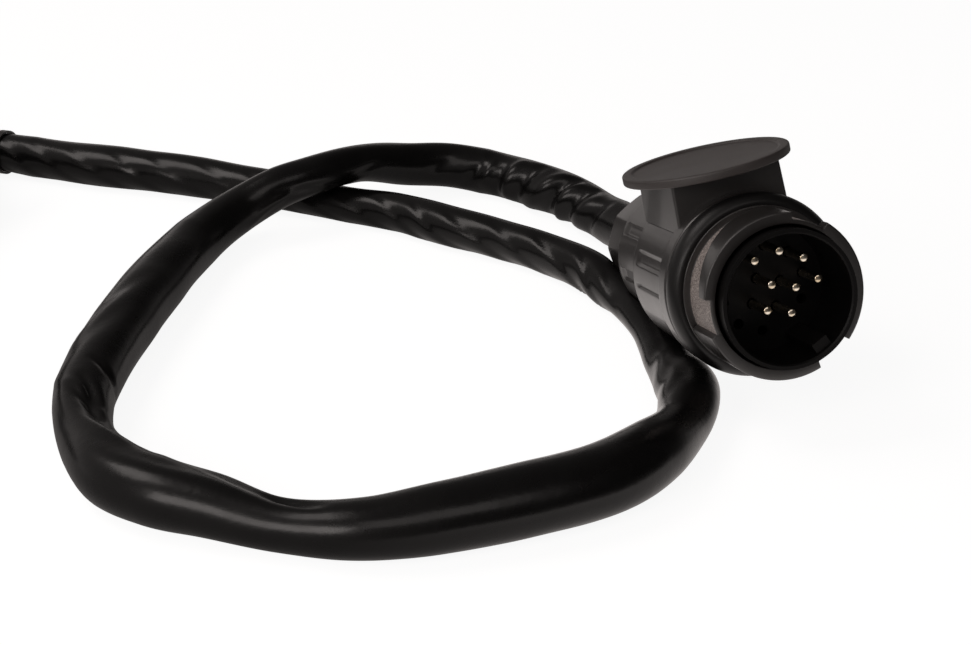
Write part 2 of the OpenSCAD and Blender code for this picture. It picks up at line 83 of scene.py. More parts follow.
# Plug axis to world: the front looks along local +z and the grip stands towards local +y
UPRIGHT = Matrix.Rotation(math.radians(90.0 - LIE_PITCH), 4, "X")
POSE = UPRIGHT @ Matrix.Rotation(math.radians(HANDLE_ROLL), 4, "Z")


class Body(Enum):
    """Moving bodies of the plug."""

    CORE = "core"
    SHELL = "coupling_shell"


class Slot(Enum):
    """Material slots of the record."""

    NYLON = "black_nylon"
    RUBBER = "black_rubber"
    VINYL = "black_vinyl"
    METAL = "nickel_brass"
    CORES = "core_insulation"


def linear(hex_colour: str) -> tuple[float, float, float, float]:
    """Turns an sRGB hex colour into linear light.

    Args:
        hex_colour: Colour such as "#1a2b3c".

    Returns:
        Linear red, green, blue and an alpha of one.
    """
    channels = [int(hex_colour[i : i + 2], 16) / 255.0 for i in (1, 3, 5)]
    light = [c / 12.92 if c <= 0.04045 else ((c + 0.055) / 1.055) ** 2.4 for c in channels]
    return (light[0], light[1], light[2], 1.0)


def add_node(
    tree: bpy.types.NodeTree,
    kind: str,
    values: dict[str | int, object] | None = None,
    links: dict[str | int, bpy.types.NodeSocket] | None = None,
    **settings: object,
) -> bpy.types.Node:
    """Adds one node with its settings, socket values and incoming links.

    Args:
        tree: Node tree that takes the node.
        kind: Node type.
        values: Input values by socket name or index.
        links: Sockets to link from, by input name or index.
        **settings: Properties of the node itself.

    Returns:
        The new node.
    """
    node = tree.nodes.new(kind)
    for key, value in settings.items():
        setattr(node, key, value)
    for key, value in (values or {}).items():
        node.inputs[key].default_value = value
    for key, socket in (links or {}).items():
        tree.links.new(socket, node.inputs[key])
    return node


def smooth_step(low: float, high: float, value: float) -> float:
    """Rises smoothly from 0 at low to 1 at high."""
    t = min(1.0, max(0.0, (value - low) / (high - low)))
    return t * t * (3.0 - 2.0 * t)


def turn_between(angle: float, middle: float) -> float:
    """Signed turn in degrees from a middle direction to an angle, within half a turn."""
    return (angle - middle + 180.0) % 360.0 - 180.0


def rounded(corners: Sequence[Corner], steps: int = 4) -> list[Point]:
    """Rounds the corners of a closed outline.

    Args:
        corners: Radius, depth and fillet of each corner, in order.
        steps: Pieces in which each fillet is drawn.

    Returns:
        Radius and depth of every outline point, the same count for every fillet.
    """
    points: list[Point] = []
    count = len(corners)
    for i, (r, d, fillet) in enumerate(corners):
        here = Vector((r, d))
        before = Vector(corners[i - 1][:2]) - here
        after = Vector(corners[(i + 1) % count][:2]) - here
        room = FILLET_ROOM * min(before.length, after.length)
        if fillet <= 0.0:
            points.append((r, d))
            continue
        if room < TINY:
            points.extend([(r, d)] * (steps + 1))
            continue
        reach = min(fillet, room)
        first = here + before.normalized() * reach
        last = here + after.normalized() * reach
        for k in range(steps + 1):
            t = k / steps
            bend = first * (1 - t) ** 2 + here * 2 * t * (1 - t) + last * t * t
            points.append((bend.x, bend.y))
    return points


def divided(points: Sequence[Point], step: float) -> list[Point]:
    """Splits the long sides of a closed outline into pieces no longer than a step.

    Args:
        points: Points of the outline in order.
        step: Longest piece in millimetres.

    Returns:
        The same outline with the points between.
    """
    fine: list[Point] = []
    for i, here in enumerate(points):
        after = points[(i + 1) % len(points)]
        length = math.dist(here, after)
        pieces = max(1, math.ceil(length / step))
        for k in range(pieces):
            t = k / pieces
            fine.append((here[0] + (after[0] - here[0]) * t, here[1] + (after[1] - here[1]) * t))
    return fine


def even_turn(count: int) -> list[float]:
    """Angles in degrees of an evenly divided turn."""
    return [360.0 * k / count for k in range(count)]


def round_unit(angle: float) -> Point:
    """Cosine and sine of an angle in degrees."""
    return math.cos(math.radians(angle)), math.sin(math.radians(angle))


def ramp_values(span: Point, levels: Point) -> dict[str | int, object]:
    """Input values of a Map Range node for a level that changes over a span."""
    names = ("From Min", "From Max", "To Min", "To Max")
    return dict(zip(names, (*span, *levels)))


def finish_mesh(mesh: bpy.types.Mesh, crease: float = SHARP) -> None:
    """Merges doubles, turns faces outwards and shades smooth up to a crease angle.

    Args:
        mesh: Mesh to finish.
        crease: Angle in degrees above which an edge stays sharp.
    """
    work = bmesh.new()
    work.from_mesh(mesh)
    bmesh.ops.remove_doubles(work, verts=work.verts, dist=SAME_SPOT)
    bmesh.ops.dissolve_degenerate(work, edges=work.edges, dist=TINY)
    bmesh.ops.recalc_face_normals(work, faces=work.faces)
    work.to_mesh(mesh)
    work.free()
    mesh.shade_smooth()
    mesh.set_sharp_from_angle(angle=math.radians(crease))


def new_object(name: str, mesh: bpy.types.Mesh) -> bpy.types.Object:
    """Links a mesh into the scene as an object at the origin.

    Args:
        name: Name of the object.
        mesh: Its mesh.

    Returns:
        The new object.
    """
    piece = bpy.data.objects.new(name, mesh)
    bpy.context.scene.collection.objects.link(piece)
    return piece


def turned(name: str, outline: Outline, angles: Sequence[float], lay: Matrix = POSE) -> bpy.types.Object:
    """Sweeps an outline of radius and depth round the plug's axis.

    Args:
        name: Name of the piece.
        outline: Gives the closed outline for an angle in degrees, always with the same count.
        angles: Angles of the sections, once round.
        lay: Matrix from the plug's axis to the world.

    Returns:
        The finished piece.
    """
    rings = []
    for angle in angles:
        c, s = round_unit(angle)
        rings.append([lay @ Vector((r * c, r * s, -d)) for r, d in outline(angle)])
    return tube(name, rings, True, SHARP)


def rounded_block(
    name: str, low: Vector, high: Vector, radius: float, draft: float, lay: Matrix = POSE
) -> bpy.types.Object:
    """Builds a block with rounded edges whose sides lean in towards local +y.

    Args:
        name: Name of the piece.
        low: Lowest corner in millimetres, on the plug's axis.
        high: Highest corner.
        radius: Radius of the edges.
        draft: Lean of the two x sides over the block's height, in millimetres.
        lay: Matrix from the plug's axis to the world.

    Returns:
        The finished block.
    """
    work = bmesh.new()
    bmesh.ops.create_cube(work, size=1.0)
    size = high - low
    middle = (high + low) / 2
    for vert in work.verts:
        vert.co = Vector([middle[i] + vert.co[i] * size[i] for i in range(3)])
        if vert.co.y > middle.y:
            vert.co.x -= math.copysign(draft, vert.co.x)
    upright = [e for e in work.edges if abs(e.verts[0].co.y - e.verts[1].co.y) > size.y / 2]
    bmesh.ops.bevel(work, geom=upright, offset=radius, segments=EDGE_STEPS, profile=0.5, affect="EDGES")
    for vert in work.verts:
        vert.co = lay @ vert.co * MM
    mesh = bpy.data.meshes.new(name)
    work.to_mesh(mesh)
    work.free()
    finish_mesh(mesh)
    return new_object(name, mesh)


def join(name: str, pieces: Sequence[bpy.types.Object]) -> bpy.types.Object:
    """Joins several pieces into one object of a new name.

    Args:
        name: Name of the whole.
        pieces: Pieces to join, which are then dropped.

    Returns:
        The joined object.
    """
    work = bmesh.new()
    for piece in pieces:
        work.from_mesh(piece.data)
    mesh = bpy.data.meshes.new(name)
    work.to_mesh(mesh)
    work.free()
    for piece in pieces:
        bpy.data.objects.remove(piece, do_unlink=True)
    mesh.shade_smooth()
    mesh.set_sharp_from_angle(angle=math.radians(SHARP))
    return new_object(name, mesh)


def tube(name: str, rings: Sequence[Sequence[Vector]], closed: bool, crease: float) -> bpy.types.Object:
    """Skin over a row of rings of points.

    Args:
        name: Name of the piece.
        rings: Rings in millimetres, each with the same count of points.
        closed: Whether the row runs back into its first ring, else both ends get a cap.
        crease: Angle in degrees above which an edge stays sharp.

    Returns:
        The new object.
    """
    sides = len(rings[0])
    last = len(rings) - 1
    faces: list[tuple[int, ...]] = []
    for i in range(len(rings) if closed else last):
        here, there = i * sides, (i + 1) % len(rings) * sides
        for k in range(sides):
            n = (k + 1) % sides
            faces.append((here + k, here + n, there + n, there + k))
    if not closed:
        faces.append(tuple(range(sides - 1, -1, -1)))
        faces.append(tuple(last * sides + k for k in range(sides)))
    mesh = bpy.data.meshes.new(name)
    mesh.from_pydata([point * MM for ring in rings for point in ring], [], faces)
    finish_mesh(mesh, crease)
    return new_object(name, mesh)


def baked(name: str, host: bpy.types.Object) -> bpy.types.Object:
    """Turns an object with modifiers into a plain mesh object and drops the host.

    Args:
        name: Name of the plain object.
        host: Object with the modifiers.

    Returns:
        The plain object.
    """
    bpy.context.view_layer.update()
    graph = bpy.context.evaluated_depsgraph_get()
    mesh = bpy.data.meshes.new_from_object(host.evaluated_get(graph), depsgraph=graph)
    mesh.name = name
    bpy.data.objects.remove(host, do_unlink=True)
    return new_object(name, mesh)


def place(
    piece: bpy.types.Object,
    body: Body,
    slot: Slot,
    finish: bpy.types.Material,
    stands_for: Iterable[str] = (),
) -> None:
    """Gives a piece its body, finish and the solids that it stands for.

    Args:
        piece: The piece.
        body: Body that it moves with.
        slot: Slot of the record that names its finish. Not used.
        finish: Material that it shows.
        stands_for: Names of the solids that it replaces.
    """
    piece.data.materials.clear()
    piece.data.materials.append(finish)
    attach(piece, body.value)
    names = list(stands_for)
    if names:
        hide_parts(*names)
    LOG.info("%s rides on %s", piece.name, body.value)


@dataclass(frozen=True)
class Finish:
    """A surface whose colour drifts between two tones.

    Attributes:
        name: Name of the material.
        colour: sRGB hex of the ground.
        wear_and_glint: sRGB hex of its paler patches, rubbed wear on most finishes and painted glints on
            the blasted one.
    """

    name: str
    colour: str
    wear_and_glint: str
    # Levels of the drift at which each tone is pure, and its octaves
    tones: ClassVar[Point] = (0.42, 0.74)
    octaves: ClassVar[float] = 4.0

    def begin(
        self, patch: float
    ) -> tuple[bpy.types.Material, bpy.types.Node, bpy.types.NodeSocket, bpy.types.NodeSocket]:
        """Starts the material with its drifting colour.

        Args:
            patch: Size of the colour patches in millimetres.

        Returns:
            The material, its shader, the place on the piece and the drift.
        """
        material = bpy.data.materials.new(self.name)
        material.use_nodes = True
        tree = material.node_tree
        shader = tree.nodes["Principled BSDF"]
        where = add_node(tree, "ShaderNodeTexCoord").outputs["Object"]
        size = {"Scale": 1.0 / (patch * MM), "Detail": self.octaves}
        drift = add_node(tree, "ShaderNodeTexNoise", size, {"Vector": where}).outputs["Fac"]
        tint = add_node(tree, "ShaderNodeValToRGB", links={"Fac": drift})
        for stop, level, tone in zip(tint.color_ramp.elements, self.tones, (self.colour, self.wear_and_glint)):
            stop.position = level
            stop.color = linear(tone)
        tree.links.new(tint.outputs["Color"], shader.inputs["Base Color"])
        return material, shader, where, drift

    @staticmethod
    def emboss(shader: bpy.types.Node, height: bpy.types.NodeSocket, strength: float, depth: float) -> None:
        """Gives a shader a relief.

        Args:
            shader: Shader that takes it.
            height: Socket with the height from 0 to 1.
            strength: Share of the relief that shows.
            depth: Depth of the relief in millimetres.
        """
        tree = shader.id_data
        relief = {"Strength": strength, "Distance": depth * MM}
        bump = add_node(tree, "ShaderNodeBump", relief, {"Height": height})
        tree.links.new(bump.outputs["Normal"], shader.inputs["Normal"])


@dataclass(frozen=True)
class MouldedFinish(Finish):
    """A moulded or drawn polymer: colour with slight drift, gloss, and a grain in its skin.

    Attributes:
        roughness: Lowest and highest roughness over the surface.
        specular: Specular level.
        grain: Size of the skin's grain in millimetres.
        grain_depth: Depth of that grain in millimetres.
        coat: Weight of a glossy skin.
        patch: Size of the colour patches in millimetres.
    """

    roughness: Point
    specular: float
    grain: float
    grain_depth: float
    coat: float = 0.0
    patch: float = 14.0
    coat_roughness: ClassVar[float] = 0.12
    grain_octaves: ClassVar[float] = 2.0
    # Levels of the drift at which the roughness is lowest and highest
    gloss_span: ClassVar[Point] = (0.3, 0.7)

    def build(self) -> bpy.types.Material:
        """Builds the material from its values.

        Returns:
            The material.
        """
        material, shader, where, drift = self.begin(self.patch)
        tree = material.node_tree
        shader.inputs["Specular IOR Level"].default_value = self.specular
        shader.inputs["Coat Weight"].default_value = self.coat
        shader.inputs["Coat Roughness"].default_value = self.coat_roughness
        spread = ramp_values(self.gloss_span, self.roughness)
        gloss = add_node(tree, "ShaderNodeMapRange", spread, {"Value": drift})
        tree.links.new(gloss.outputs["Result"], shader.inputs["Roughness"])
        fine = {"Scale": 1.0 / (self.grain * MM), "Detail": self.grain_octaves}
        skin = add_node(tree, "ShaderNodeTexNoise", fine, {"Vector": where})
        self.emboss(shader, skin.outputs["Fac"], 1.0, self.grain_depth)
        return material


@dataclass(frozen=True)
class PlatedFinish(Finish):
    """Nickel plate on turned brass: bright, warm, with fine turning marks.

    Attributes:
        roughness: Roughness of the plate.
        patch: Size of the marks in millimetres.
        mark_depth: Depth of the marks in millimetres.
        mark_strength: Share of that depth that shows.
    """

    roughness: float
    patch: float = 1.5
    mark_depth: float = 0.02
    mark_strength: float = 0.1
    tones: ClassVar[Point] = (0.35, 0.6)
    octaves: ClassVar[float] = 3.0

    def build(self) -> bpy.types.Material:
        """Builds the material from its values.

        Returns:
            The material.
        """
        material, shader, _, drift = self.begin(self.patch)
        shader.inputs["Metallic"].default_value = 1.0
        shader.inputs["Roughness"].default_value = self.roughness
        self.emboss(shader, drift, self.mark_strength, self.mark_depth)
        return material


class Finishes:
    """Builds every finish once and keeps it by name."""

    def __init__(self) -> None:
        """Builds the finishes, each from what its material is and how its face was made."""
        # Glass-filled nylon from a polished mould: low sheen, its faint grain drawn coarse enough to show
        self.nylon = MouldedFinish(
            "moulded_nylon", "#1f1c1b", "#252220", (0.36, 0.44), 0.95, 0.55, 0.012, coat=0.3
        ).build()
        # The same nylon from a spark-eroded mould face: an even fine grain that scatters the light. Its
        # colour is lifted above the shell's, partly the grain's own matte grey and partly painted light on
        # the plate's top
        self.grained_and_lit = MouldedFinish(
            "spark_grained_nylon_painted_light", "#352f2d", "#3e3836", (0.5, 0.58), 0.95, 0.45, 0.05
        ).build()
        # Blasted mould face between the lugs: coarse grain. Its light grey is partly the grain's own matte
        # grey and partly painted glints of light on the grain
        self.blasted_glint = MouldedFinish(
            "blasted_nylon_painted_glint", "#6c6461", "#d6ccc6", (0.5, 0.62), 0.6, 0.4, 0.12, patch=0.4
        ).build()
        # Insert nylon deep in the shroud: flat, its colour darker than the shell's as painted shade of the
        # shroud's depth
        self.insert = MouldedFinish(
            "insert_nylon_painted_shade", "#070606", "#090808", (0.42, 0.5), 0.2, 0.5, 0.01
        ).build()
        # Nitrile rubber from a smooth mould: soft broad sheen
        self.rubber = MouldedFinish(
            "moulded_rubber", "#0c0b0b", "#100f0f", (0.36, 0.44), 0.42, 0.9, 0.015
        ).build()
        # Soft vinyl sleeve, calendered: wet gloss over small dents
        self.vinyl = MouldedFinish(
            "soft_vinyl", "#0b0a0a", "#0f0e0e", (0.23, 0.33), 0.34, 2.6, 0.06, coat=0.1
        ).build()
        # Core insulation: plain drawn vinyl
        self.insulation = MouldedFinish(
            "core_vinyl", "#4a2d18", "#563820", (0.4, 0.5), 0.45, 1.2, 0.02
        ).build()
        # Nickel on turned brass: bright and slightly warm, with marks drawn coarse enough to show
        self.plate = PlatedFinish("nickel_plate", "#d2c0a2", "#f6ecda", 0.16).build()


@dataclass(frozen=True)
class Shell:
    """Turning shell: bayonet collar, face seal, housing with its neck, and grip plate.

    Sizes are in millimetres and degrees, and depths count back from the shroud's rim. A pair is the
    start and end of a change.
    """

    bore_r: float = 19.5
    collar_r: float = 20.8
    collar_front: float = 3.9
    collar_steps: int = 180
    bore_edge: float = 0.3
    rim_edge: float = 0.5
    ramp_edge: float = 0.4
    fine_edge: float = 0.25
    lug_r: float = 22.65
    lug_span: float = 93.0
    lug_count: int = 3
    lug_end: float = 0.5
    lug_end_step: float = 0.2
    lug_end_steps: int = 5
    ramp_thin: float = 4.0
    ramp_thick: float = 14.9
    lip_front: float = 19.7
    blast_slack: float = 0.12
    blast_from: float = 1.0
    blast_margin: float = 0.2
    seal_front: float = 20.5
    seal_mid: float = 24.3
    seal_r: float = 4.4
    seal_inset: float = 1.25
    seal_sides: int = 48
    seal_steps: int = 160
    seat_r: float = 21.2
    spigot_r: float = 21.8
    flange_front: float = 28.7
    flange_back: float = 32.7
    flange_r: float = 25.6
    flange_edge: float = 0.7
    lip_reach: float = 26.7
    lip_foot: float = 1.0
    lip_crest: float = 0.35
    lip_round: float = 0.4
    lip_edge: float = 0.3
    body_r: float = 24.0
    body_back: float = 60.2
    body_root: float = 0.4
    body_edge: float = 0.8
    body_steps: int = 540
    mesh_step: float = 0.75
    neck_front: float = 30.4
    neck_w: float = 33.0
    neck_root: float = 18.0
    neck_top: float = 31.6
    neck_edge: float = 0.8
    neck_draft: float = 0.4
    plate_r: float = 24.0
    plate_t: float = 2.5
    plate_border: float = 2.6
    plate_sink: float = 0.5
    plate_slope: float = 0.5
    plate_edges: Spot = (0.5, 0.6, 0.3)
    plate_steps: int = 200
    groove_depth: float = 0.8
    groove_front: Point = (33.6, 34.4)
    groove_back: Point = (54.6, 57.4)
    groove_skin: float = 0.3
    # Middle and half width of each finger groove, then share of the half width and degrees beyond it
    # at which its wall starts and ends
    grooves: tuple[Point, ...] = ((157.5, 5.0), (177.5, 1.6))
    groove_floor: Point = (0.7, -0.4)
    groove_brim: Point = (1.2, 0.3)

    def lug_rise(self, angle: float) -> tuple[float, float]:
        """How far a lug rises at an angle, and how thick it is there.

        Args:
            angle: Direction in degrees.

        Returns:
            Rise from 0 to 1, and the lug's axial thickness in millimetres.
        """
        pitch = 360.0 / self.lug_count
        from_middle = min((turn_between(angle, k * pitch) for k in range(self.lug_count)), key=abs)
        half = self.lug_span / 2
        rise = 1.0 - smooth_step(half - self.lug_end, half + self.lug_end, abs(from_middle))
        along = min(1.0, max(0.0, 0.5 - from_middle / self.lug_span))
        return rise, self.ramp_thin + (self.ramp_thick - self.ramp_thin) * along

    def collar_outline(self, angle: float) -> list[Point]:
        """Section of the collar at an angle.

        Args:
            angle: Direction in degrees.

        Returns:
            Radius and depth of the section's points, in millimetres.
        """
        rise, thick = self.lug_rise(angle)
        top = self.collar_r + (self.lug_r - self.collar_r) * rise
        ramp = self.collar_front + thick
        back = self.flange_back
        return rounded(
            [
                (self.bore_r, back, 0.0),
                (self.bore_r, self.collar_front, self.bore_edge),
                (top, self.collar_front, self.rim_edge),
                (top, ramp, self.ramp_edge),
                (self.collar_r, ramp, self.fine_edge),
                (self.collar_r, self.lip_front, self.fine_edge),
                (self.lug_r, self.lip_front, self.fine_edge),
                (self.lug_r, self.seal_front, self.fine_edge),
                (self.seat_r, self.seal_front, 0.0),
                (self.seat_r, self.flange_front, 0.0),
                (self.spigot_r, self.flange_front, 0.0),
                (self.spigot_r, back, 0.0),
            ]
        )

    def collar_angles(self) -> list[float]:
        """Section angles, closer together at the ends of the lugs.

        Returns:
            The angles in degrees, in order.
        """
        angles = set(even_turn(self.collar_steps))
        for k in range(self.lug_count):
            for side in (-0.5, 0.5):
                end = 360.0 / self.lug_count * k + side * self.lug_span
                steps = range(-self.lug_end_steps, self.lug_end_steps + 1)
                angles.update((end + step * self.lug_end_step) % 360.0 for step in steps)
        return sorted(angles)

    def build_collar(self) -> bpy.types.Object:
        """Builds the bayonet collar with its three ramped lugs."""
        return turned("bayonet_collar_look", self.collar_outline, self.collar_angles())

    def roughen_and_glint_floor(self, collar: bpy.types.Object) -> None:
        """Gives the floor between the lugs and the rear lip the collar's second, blasted finish, whose
        light colour holds painted glints.

        Args:
            collar: The collar, with both finishes on it.
        """
        to_axis = POSE.inverted()
        room = self.lip_front - self.collar_front - self.blast_margin
        for face in collar.data.polygons:
            spot = to_axis @ (face.center / MM)
            radius = math.hypot(spot.x, spot.y)
            behind = -spot.z - self.collar_front
            if abs(radius - self.collar_r) < self.blast_slack and self.blast_from < behind < room:
                face.material_index = 1

    def build_seal(self) -> bpy.types.Object:
        """Builds the round rubber ring behind the collar.

        Returns:
            The seal.
        """
        middle = self.lug_r - self.seal_inset
        section: list[Point] = []
        for q in even_turn(self.seal_sides):
            c, s = round_unit(q)
            r, d = middle + self.seal_r * c, self.seal_mid + self.seal_r * s
            section.append((max(r, self.seat_r), min(max(d, self.seal_front), self.flange_front)))
        return turned("face_seal_look", lambda _: section, even_turn(self.seal_steps))

    def groove_sink(self, angle: float, depth: float) -> float:
        """How deep the finger grooves are at a place on the housing, in millimetres.

        Args:
            angle: Direction in degrees.
            depth: Depth behind the shroud's rim in millimetres.

        Returns:
            Sink of the skin in millimetres.
        """
        along = smooth_step(*self.groove_front, depth) * (1.0 - smooth_step(*self.groove_back, depth))
        deepest = 0.0
        (floor, floor_more), (brim, brim_more) = self.groove_floor, self.groove_brim
        for middle, half in self.grooves:
            for side in (middle, 180.0 - middle):
                aside = abs(turn_between(angle, side))
                across = 1.0 - smooth_step(floor * half + floor_more, brim * half + brim_more, aside)
                deepest = max(deepest, across * along)
        return deepest * self.groove_depth

    def housing_outline(self, angle: float) -> list[Point]:
        """Section of the housing at an angle.

        Args:
            angle: Direction in degrees.

        Returns:
            Radius and depth of the section's points, in millimetres.
        """
        corners = [
            (self.bore_r, self.body_back, 0.0),
            (self.bore_r, self.flange_back, 0.0),
            (self.spigot_r, self.flange_back, 0.0),
            (self.spigot_r, self.flange_front, 0.0),
            (self.flange_r - self.lip_foot, self.flange_front, 0.0),
            (self.flange_r - self.lip_crest, self.lip_reach, 0.0),
            (self.flange_r, self.lip_reach + self.lip_round, self.lip_edge),
            (self.flange_r, self.flange_back, self.flange_edge),
            (self.body_r, self.flange_back, self.body_root),
            (self.body_r, self.body_back, self.body_edge),
        ]
        shaped = []
        for r, d in divided(rounded(corners), self.mesh_step):
            grooved = r > self.body_r - self.groove_skin and d > self.flange_back
            shaped.append((r - self.groove_sink(angle, d) if grooved else r, d))
        return shaped

    def build_housing(self) -> bpy.types.Object:
        """Builds the flanged housing and the neck that stands on it.

        Returns:
            The housing.
        """
        barrel = turned("housing_barrel", self.housing_outline, even_turn(self.body_steps))
        half = self.neck_w / 2
        low = Vector((-half, self.neck_root, -self.body_back))
        high = Vector((half, self.neck_top, -self.neck_front))
        neck = rounded_block("housing_neck", low, high, self.neck_edge, self.neck_draft)
        return join("grip_housing_look", [barrel, neck])

    def plate_outline(self, _: float) -> list[Point]:
        """Section of the grip plate, with its height as the depth.

        Args:
            _: Direction, the same all round.

        Returns:
            Radius and depth of the section's points, in millimetres.
        """
        inner = self.plate_r - self.plate_border
        foot, rim, step = self.plate_edges
        top = self.plate_t
        return rounded(
            [
                (0.0, 0.0, 0.0),
                (self.plate_r, 0.0, foot),
                (self.plate_r, top, rim),
                (inner, top, step),
                (inner - self.plate_slope, top - self.plate_sink, step),
                (0.0, top - self.plate_sink, 0.0),
            ]
        )

    def build_plate(self) -> bpy.types.Object:
        """Builds the round grip plate on top of the neck.

        Returns:
            The plate.
        """
        middle = -(self.neck_front + self.body_back) / 2
        upright = Matrix.Rotation(math.radians(90), 4, "X")
        lay = POSE @ (Matrix.Translation((0.0, self.neck_top, middle)) @ upright)
        return turned("grip_plate_look", self.plate_outline, even_turn(self.plate_steps), lay)

    def dress(self, finishes: Finishes) -> None:
        """Builds the whole shell and gives it its finishes.

        Args:
            finishes: Finishes of the whole object.
        """
        collar = self.build_collar()
        place(collar, Body.SHELL, Slot.NYLON, finishes.nylon, ["bayonet_collar"])
        # Second finish on the collar: blasted grain whose light colour holds painted glints
        collar.data.materials.append(finishes.blasted_glint)
        self.roughen_and_glint_floor(collar)
        place(self.build_seal(), Body.SHELL, Slot.RUBBER, finishes.rubber, ["face_seal"])
        place(self.build_housing(), Body.SHELL, Slot.NYLON, finishes.nylon, ["grip_housing"])
        # The plate's lifted colour holds painted light on its top
        place(self.build_plate(), Body.SHELL, Slot.NYLON, finishes.grained_and_lit, ["grip_plate"])


@dataclass(frozen=True)
class Core:
    """Standing core: contact insert with its pins, rear cap and gland nut.

    Sizes are in millimetres and degrees, and depths count back from the shroud's rim. A pair is the
    start and end of a change.
    """

    face_depth: float = 19.0
    pin_r: float = 1.25
    pin_recess: float = 6.7
    pin_sides: int = 28
    dome_rings: int = 16
    dome_share: float = 0.42
    key_angle: float = -66.0
    outer_ring_r: float = 11.9
    outer_places: int = 10
    outer_fitted: tuple[int, ...] = (5, 4, 3, 2)
    inner_ring_r: float = 5.0
    inner_shift: float = 1.5
    inner_places: int = 4
    inner_fitted: tuple[int, ...] = (2, 1, 3, 0)
    steps: int = 360
    mesh_step: float = 0.8
    cap_front: float = 60.5
    cap_rear: float = 86.5
    cap_r: float = 20.3
    cap_edge: float = 0.6
    taper_r: float = 16.3
    taper_rear: float = 88.0
    taper_edge: float = 0.3
    pocket_count: int = 9
    pocket_at: float = 142.0
    pocket_depth: float = 0.9
    pocket_wall: Point = (3.6, 6.0)
    pocket_front: Point = (62.2, 63.0)
    pocket_back: Point = (82.0, 84.8)
    pocket_skin: float = 0.2
    nut_front: float = 88.5
    nut_back: float = 108.5
    nut_r: float = 17.2
    nut_flats: int = 10
    nut_chamfer: float = 1.5
    nut_lead: float = 0.5
    nut_corner: float = 0.12
    nut_bottom: float = 4.5
    nut_edges: Spot = (0.2, 0.3, 0.4)
    thread_r: float = 13.4
    thread_wall: float = 1.0
    thread_length: float = 12.0
    thread_gap: float = 0.1
    sleeve_hole_r: float = 7.9

    def contacts(self) -> list[Vector]:
        """Places of the fitted contacts on the plug's face, in millimetres.

        Returns:
            The places, those of the outer circle first.
        """
        spots = []
        for k in self.outer_fitted:
            out = round_unit(self.key_angle + 360.0 / self.outer_places * k)
            spots.append(Vector((*out, 0.0)) * self.outer_ring_r)
        shift = Vector((*round_unit(self.key_angle), 0.0)) * self.inner_shift
        for k in self.inner_fitted:
            out = round_unit(self.key_angle + 360.0 / self.inner_places * k)
            spots.append(shift + Vector((*out, 0.0)) * self.inner_ring_r)
        return spots

    def pin_tree(self, finish: bpy.types.Material) -> bpy.types.NodeTree:
        """Geometry tree that stands a round-tipped pin on every point.

        Args:
            finish: Material of the pins.

        Returns:
            The node tree.
        """
        tree = bpy.data.node_groups.new("contact_pin_rows", "GeometryNodeTree")
        tree.interface.new_socket("Geometry", in_out="INPUT", socket_type="NodeSocketGeometry")
        for label in ("Pin radius", "Pin length"):
            tree.interface.new_socket(label, in_out="INPUT", socket_type="NodeSocketFloat")
        tree.interface.new_socket("Geometry", in_out="OUTPUT", socket_type="NodeSocketGeometry")
        entry = add_node(tree, "NodeGroupInput")
        radius, length = entry.outputs["Pin radius"], entry.outputs["Pin length"]
        sides = {"Vertices": self.pin_sides}
        size = {"Radius": radius, "Depth": length}
        shank = add_node(tree, "GeometryNodeMeshCylinder", sides, size, fill_type="NONE")
        half = add_node(tree, "ShaderNodeMath", {1: -0.5}, {0: length}, operation="MULTIPLY")
        drop = add_node(tree, "ShaderNodeCombineXYZ", links={"Z": half.outputs[0]})
        under = {"Geometry": shank.outputs["Mesh"], "Translation": drop.outputs[0]}
        lowered = add_node(tree, "GeometryNodeTransform", links=under)
        fine = {"Segments": self.pin_sides, "Rings": self.dome_rings}
        tip = add_node(tree, "GeometryNodeMeshUVSphere", fine, {"Radius": radius})
        flat = {"Scale": (1.0, 1.0, self.dome_share)}
        dome = add_node(tree, "GeometryNodeTransform", flat, {"Geometry": tip.outputs["Mesh"]})
        whole = add_node(tree, "GeometryNodeJoinGeometry", links={"Geometry": lowered.outputs["Geometry"]})
        tree.links.new(dome.outputs["Geometry"], whole.inputs["Geometry"])
        stand = {"Points": entry.outputs["Geometry"], "Instance": whole.outputs["Geometry"]}
        rows = add_node(tree, "GeometryNodeInstanceOnPoints", links=stand)
        real = add_node(tree, "GeometryNodeRealizeInstances", links={"Geometry": rows.outputs["Instances"]})
        even = add_node(tree, "GeometryNodeSetShadeSmooth", links={"Geometry": real.outputs["Geometry"]})
        smooth = {"Geometry": even.outputs["Geometry"]}
        shown = add_node(tree, "GeometryNodeSetMaterial", {"Material": finish}, smooth)
        add_node(tree, "NodeGroupOutput", links={"Geometry": shown.outputs["Geometry"]})
        return tree

    def build_pins(self, finish: bpy.types.Material) -> bpy.types.Object:
        """Builds all the round-tipped contact pins in one piece.

        Args:
            finish: Material of the pins.

        Returns:
            The pins.
        """
        mesh = bpy.data.meshes.new("contact_spots")
        mesh.from_pydata([spot * MM for spot in self.contacts()], [], [])
        host = new_object("contact_spots", mesh)
        tree = self.pin_tree(finish)
        modifier = host.modifiers.new("pins", "NODES")
        modifier.node_group = tree
        sizes = {"Pin radius": self.pin_r * MM, "Pin length": (self.face_depth - self.pin_recess) * MM}
        for item in tree.interface.items_tree:
            if item.in_out == "INPUT" and item.name in sizes:
                modifier[item.identifier] = sizes[item.name]
        pins = baked("contact_pins_look", host)
        tip = Matrix.Translation((0.0, 0.0, -(self.pin_recess + self.pin_r) * MM))
        pins.data.transform(POSE @ tip)
        return pins

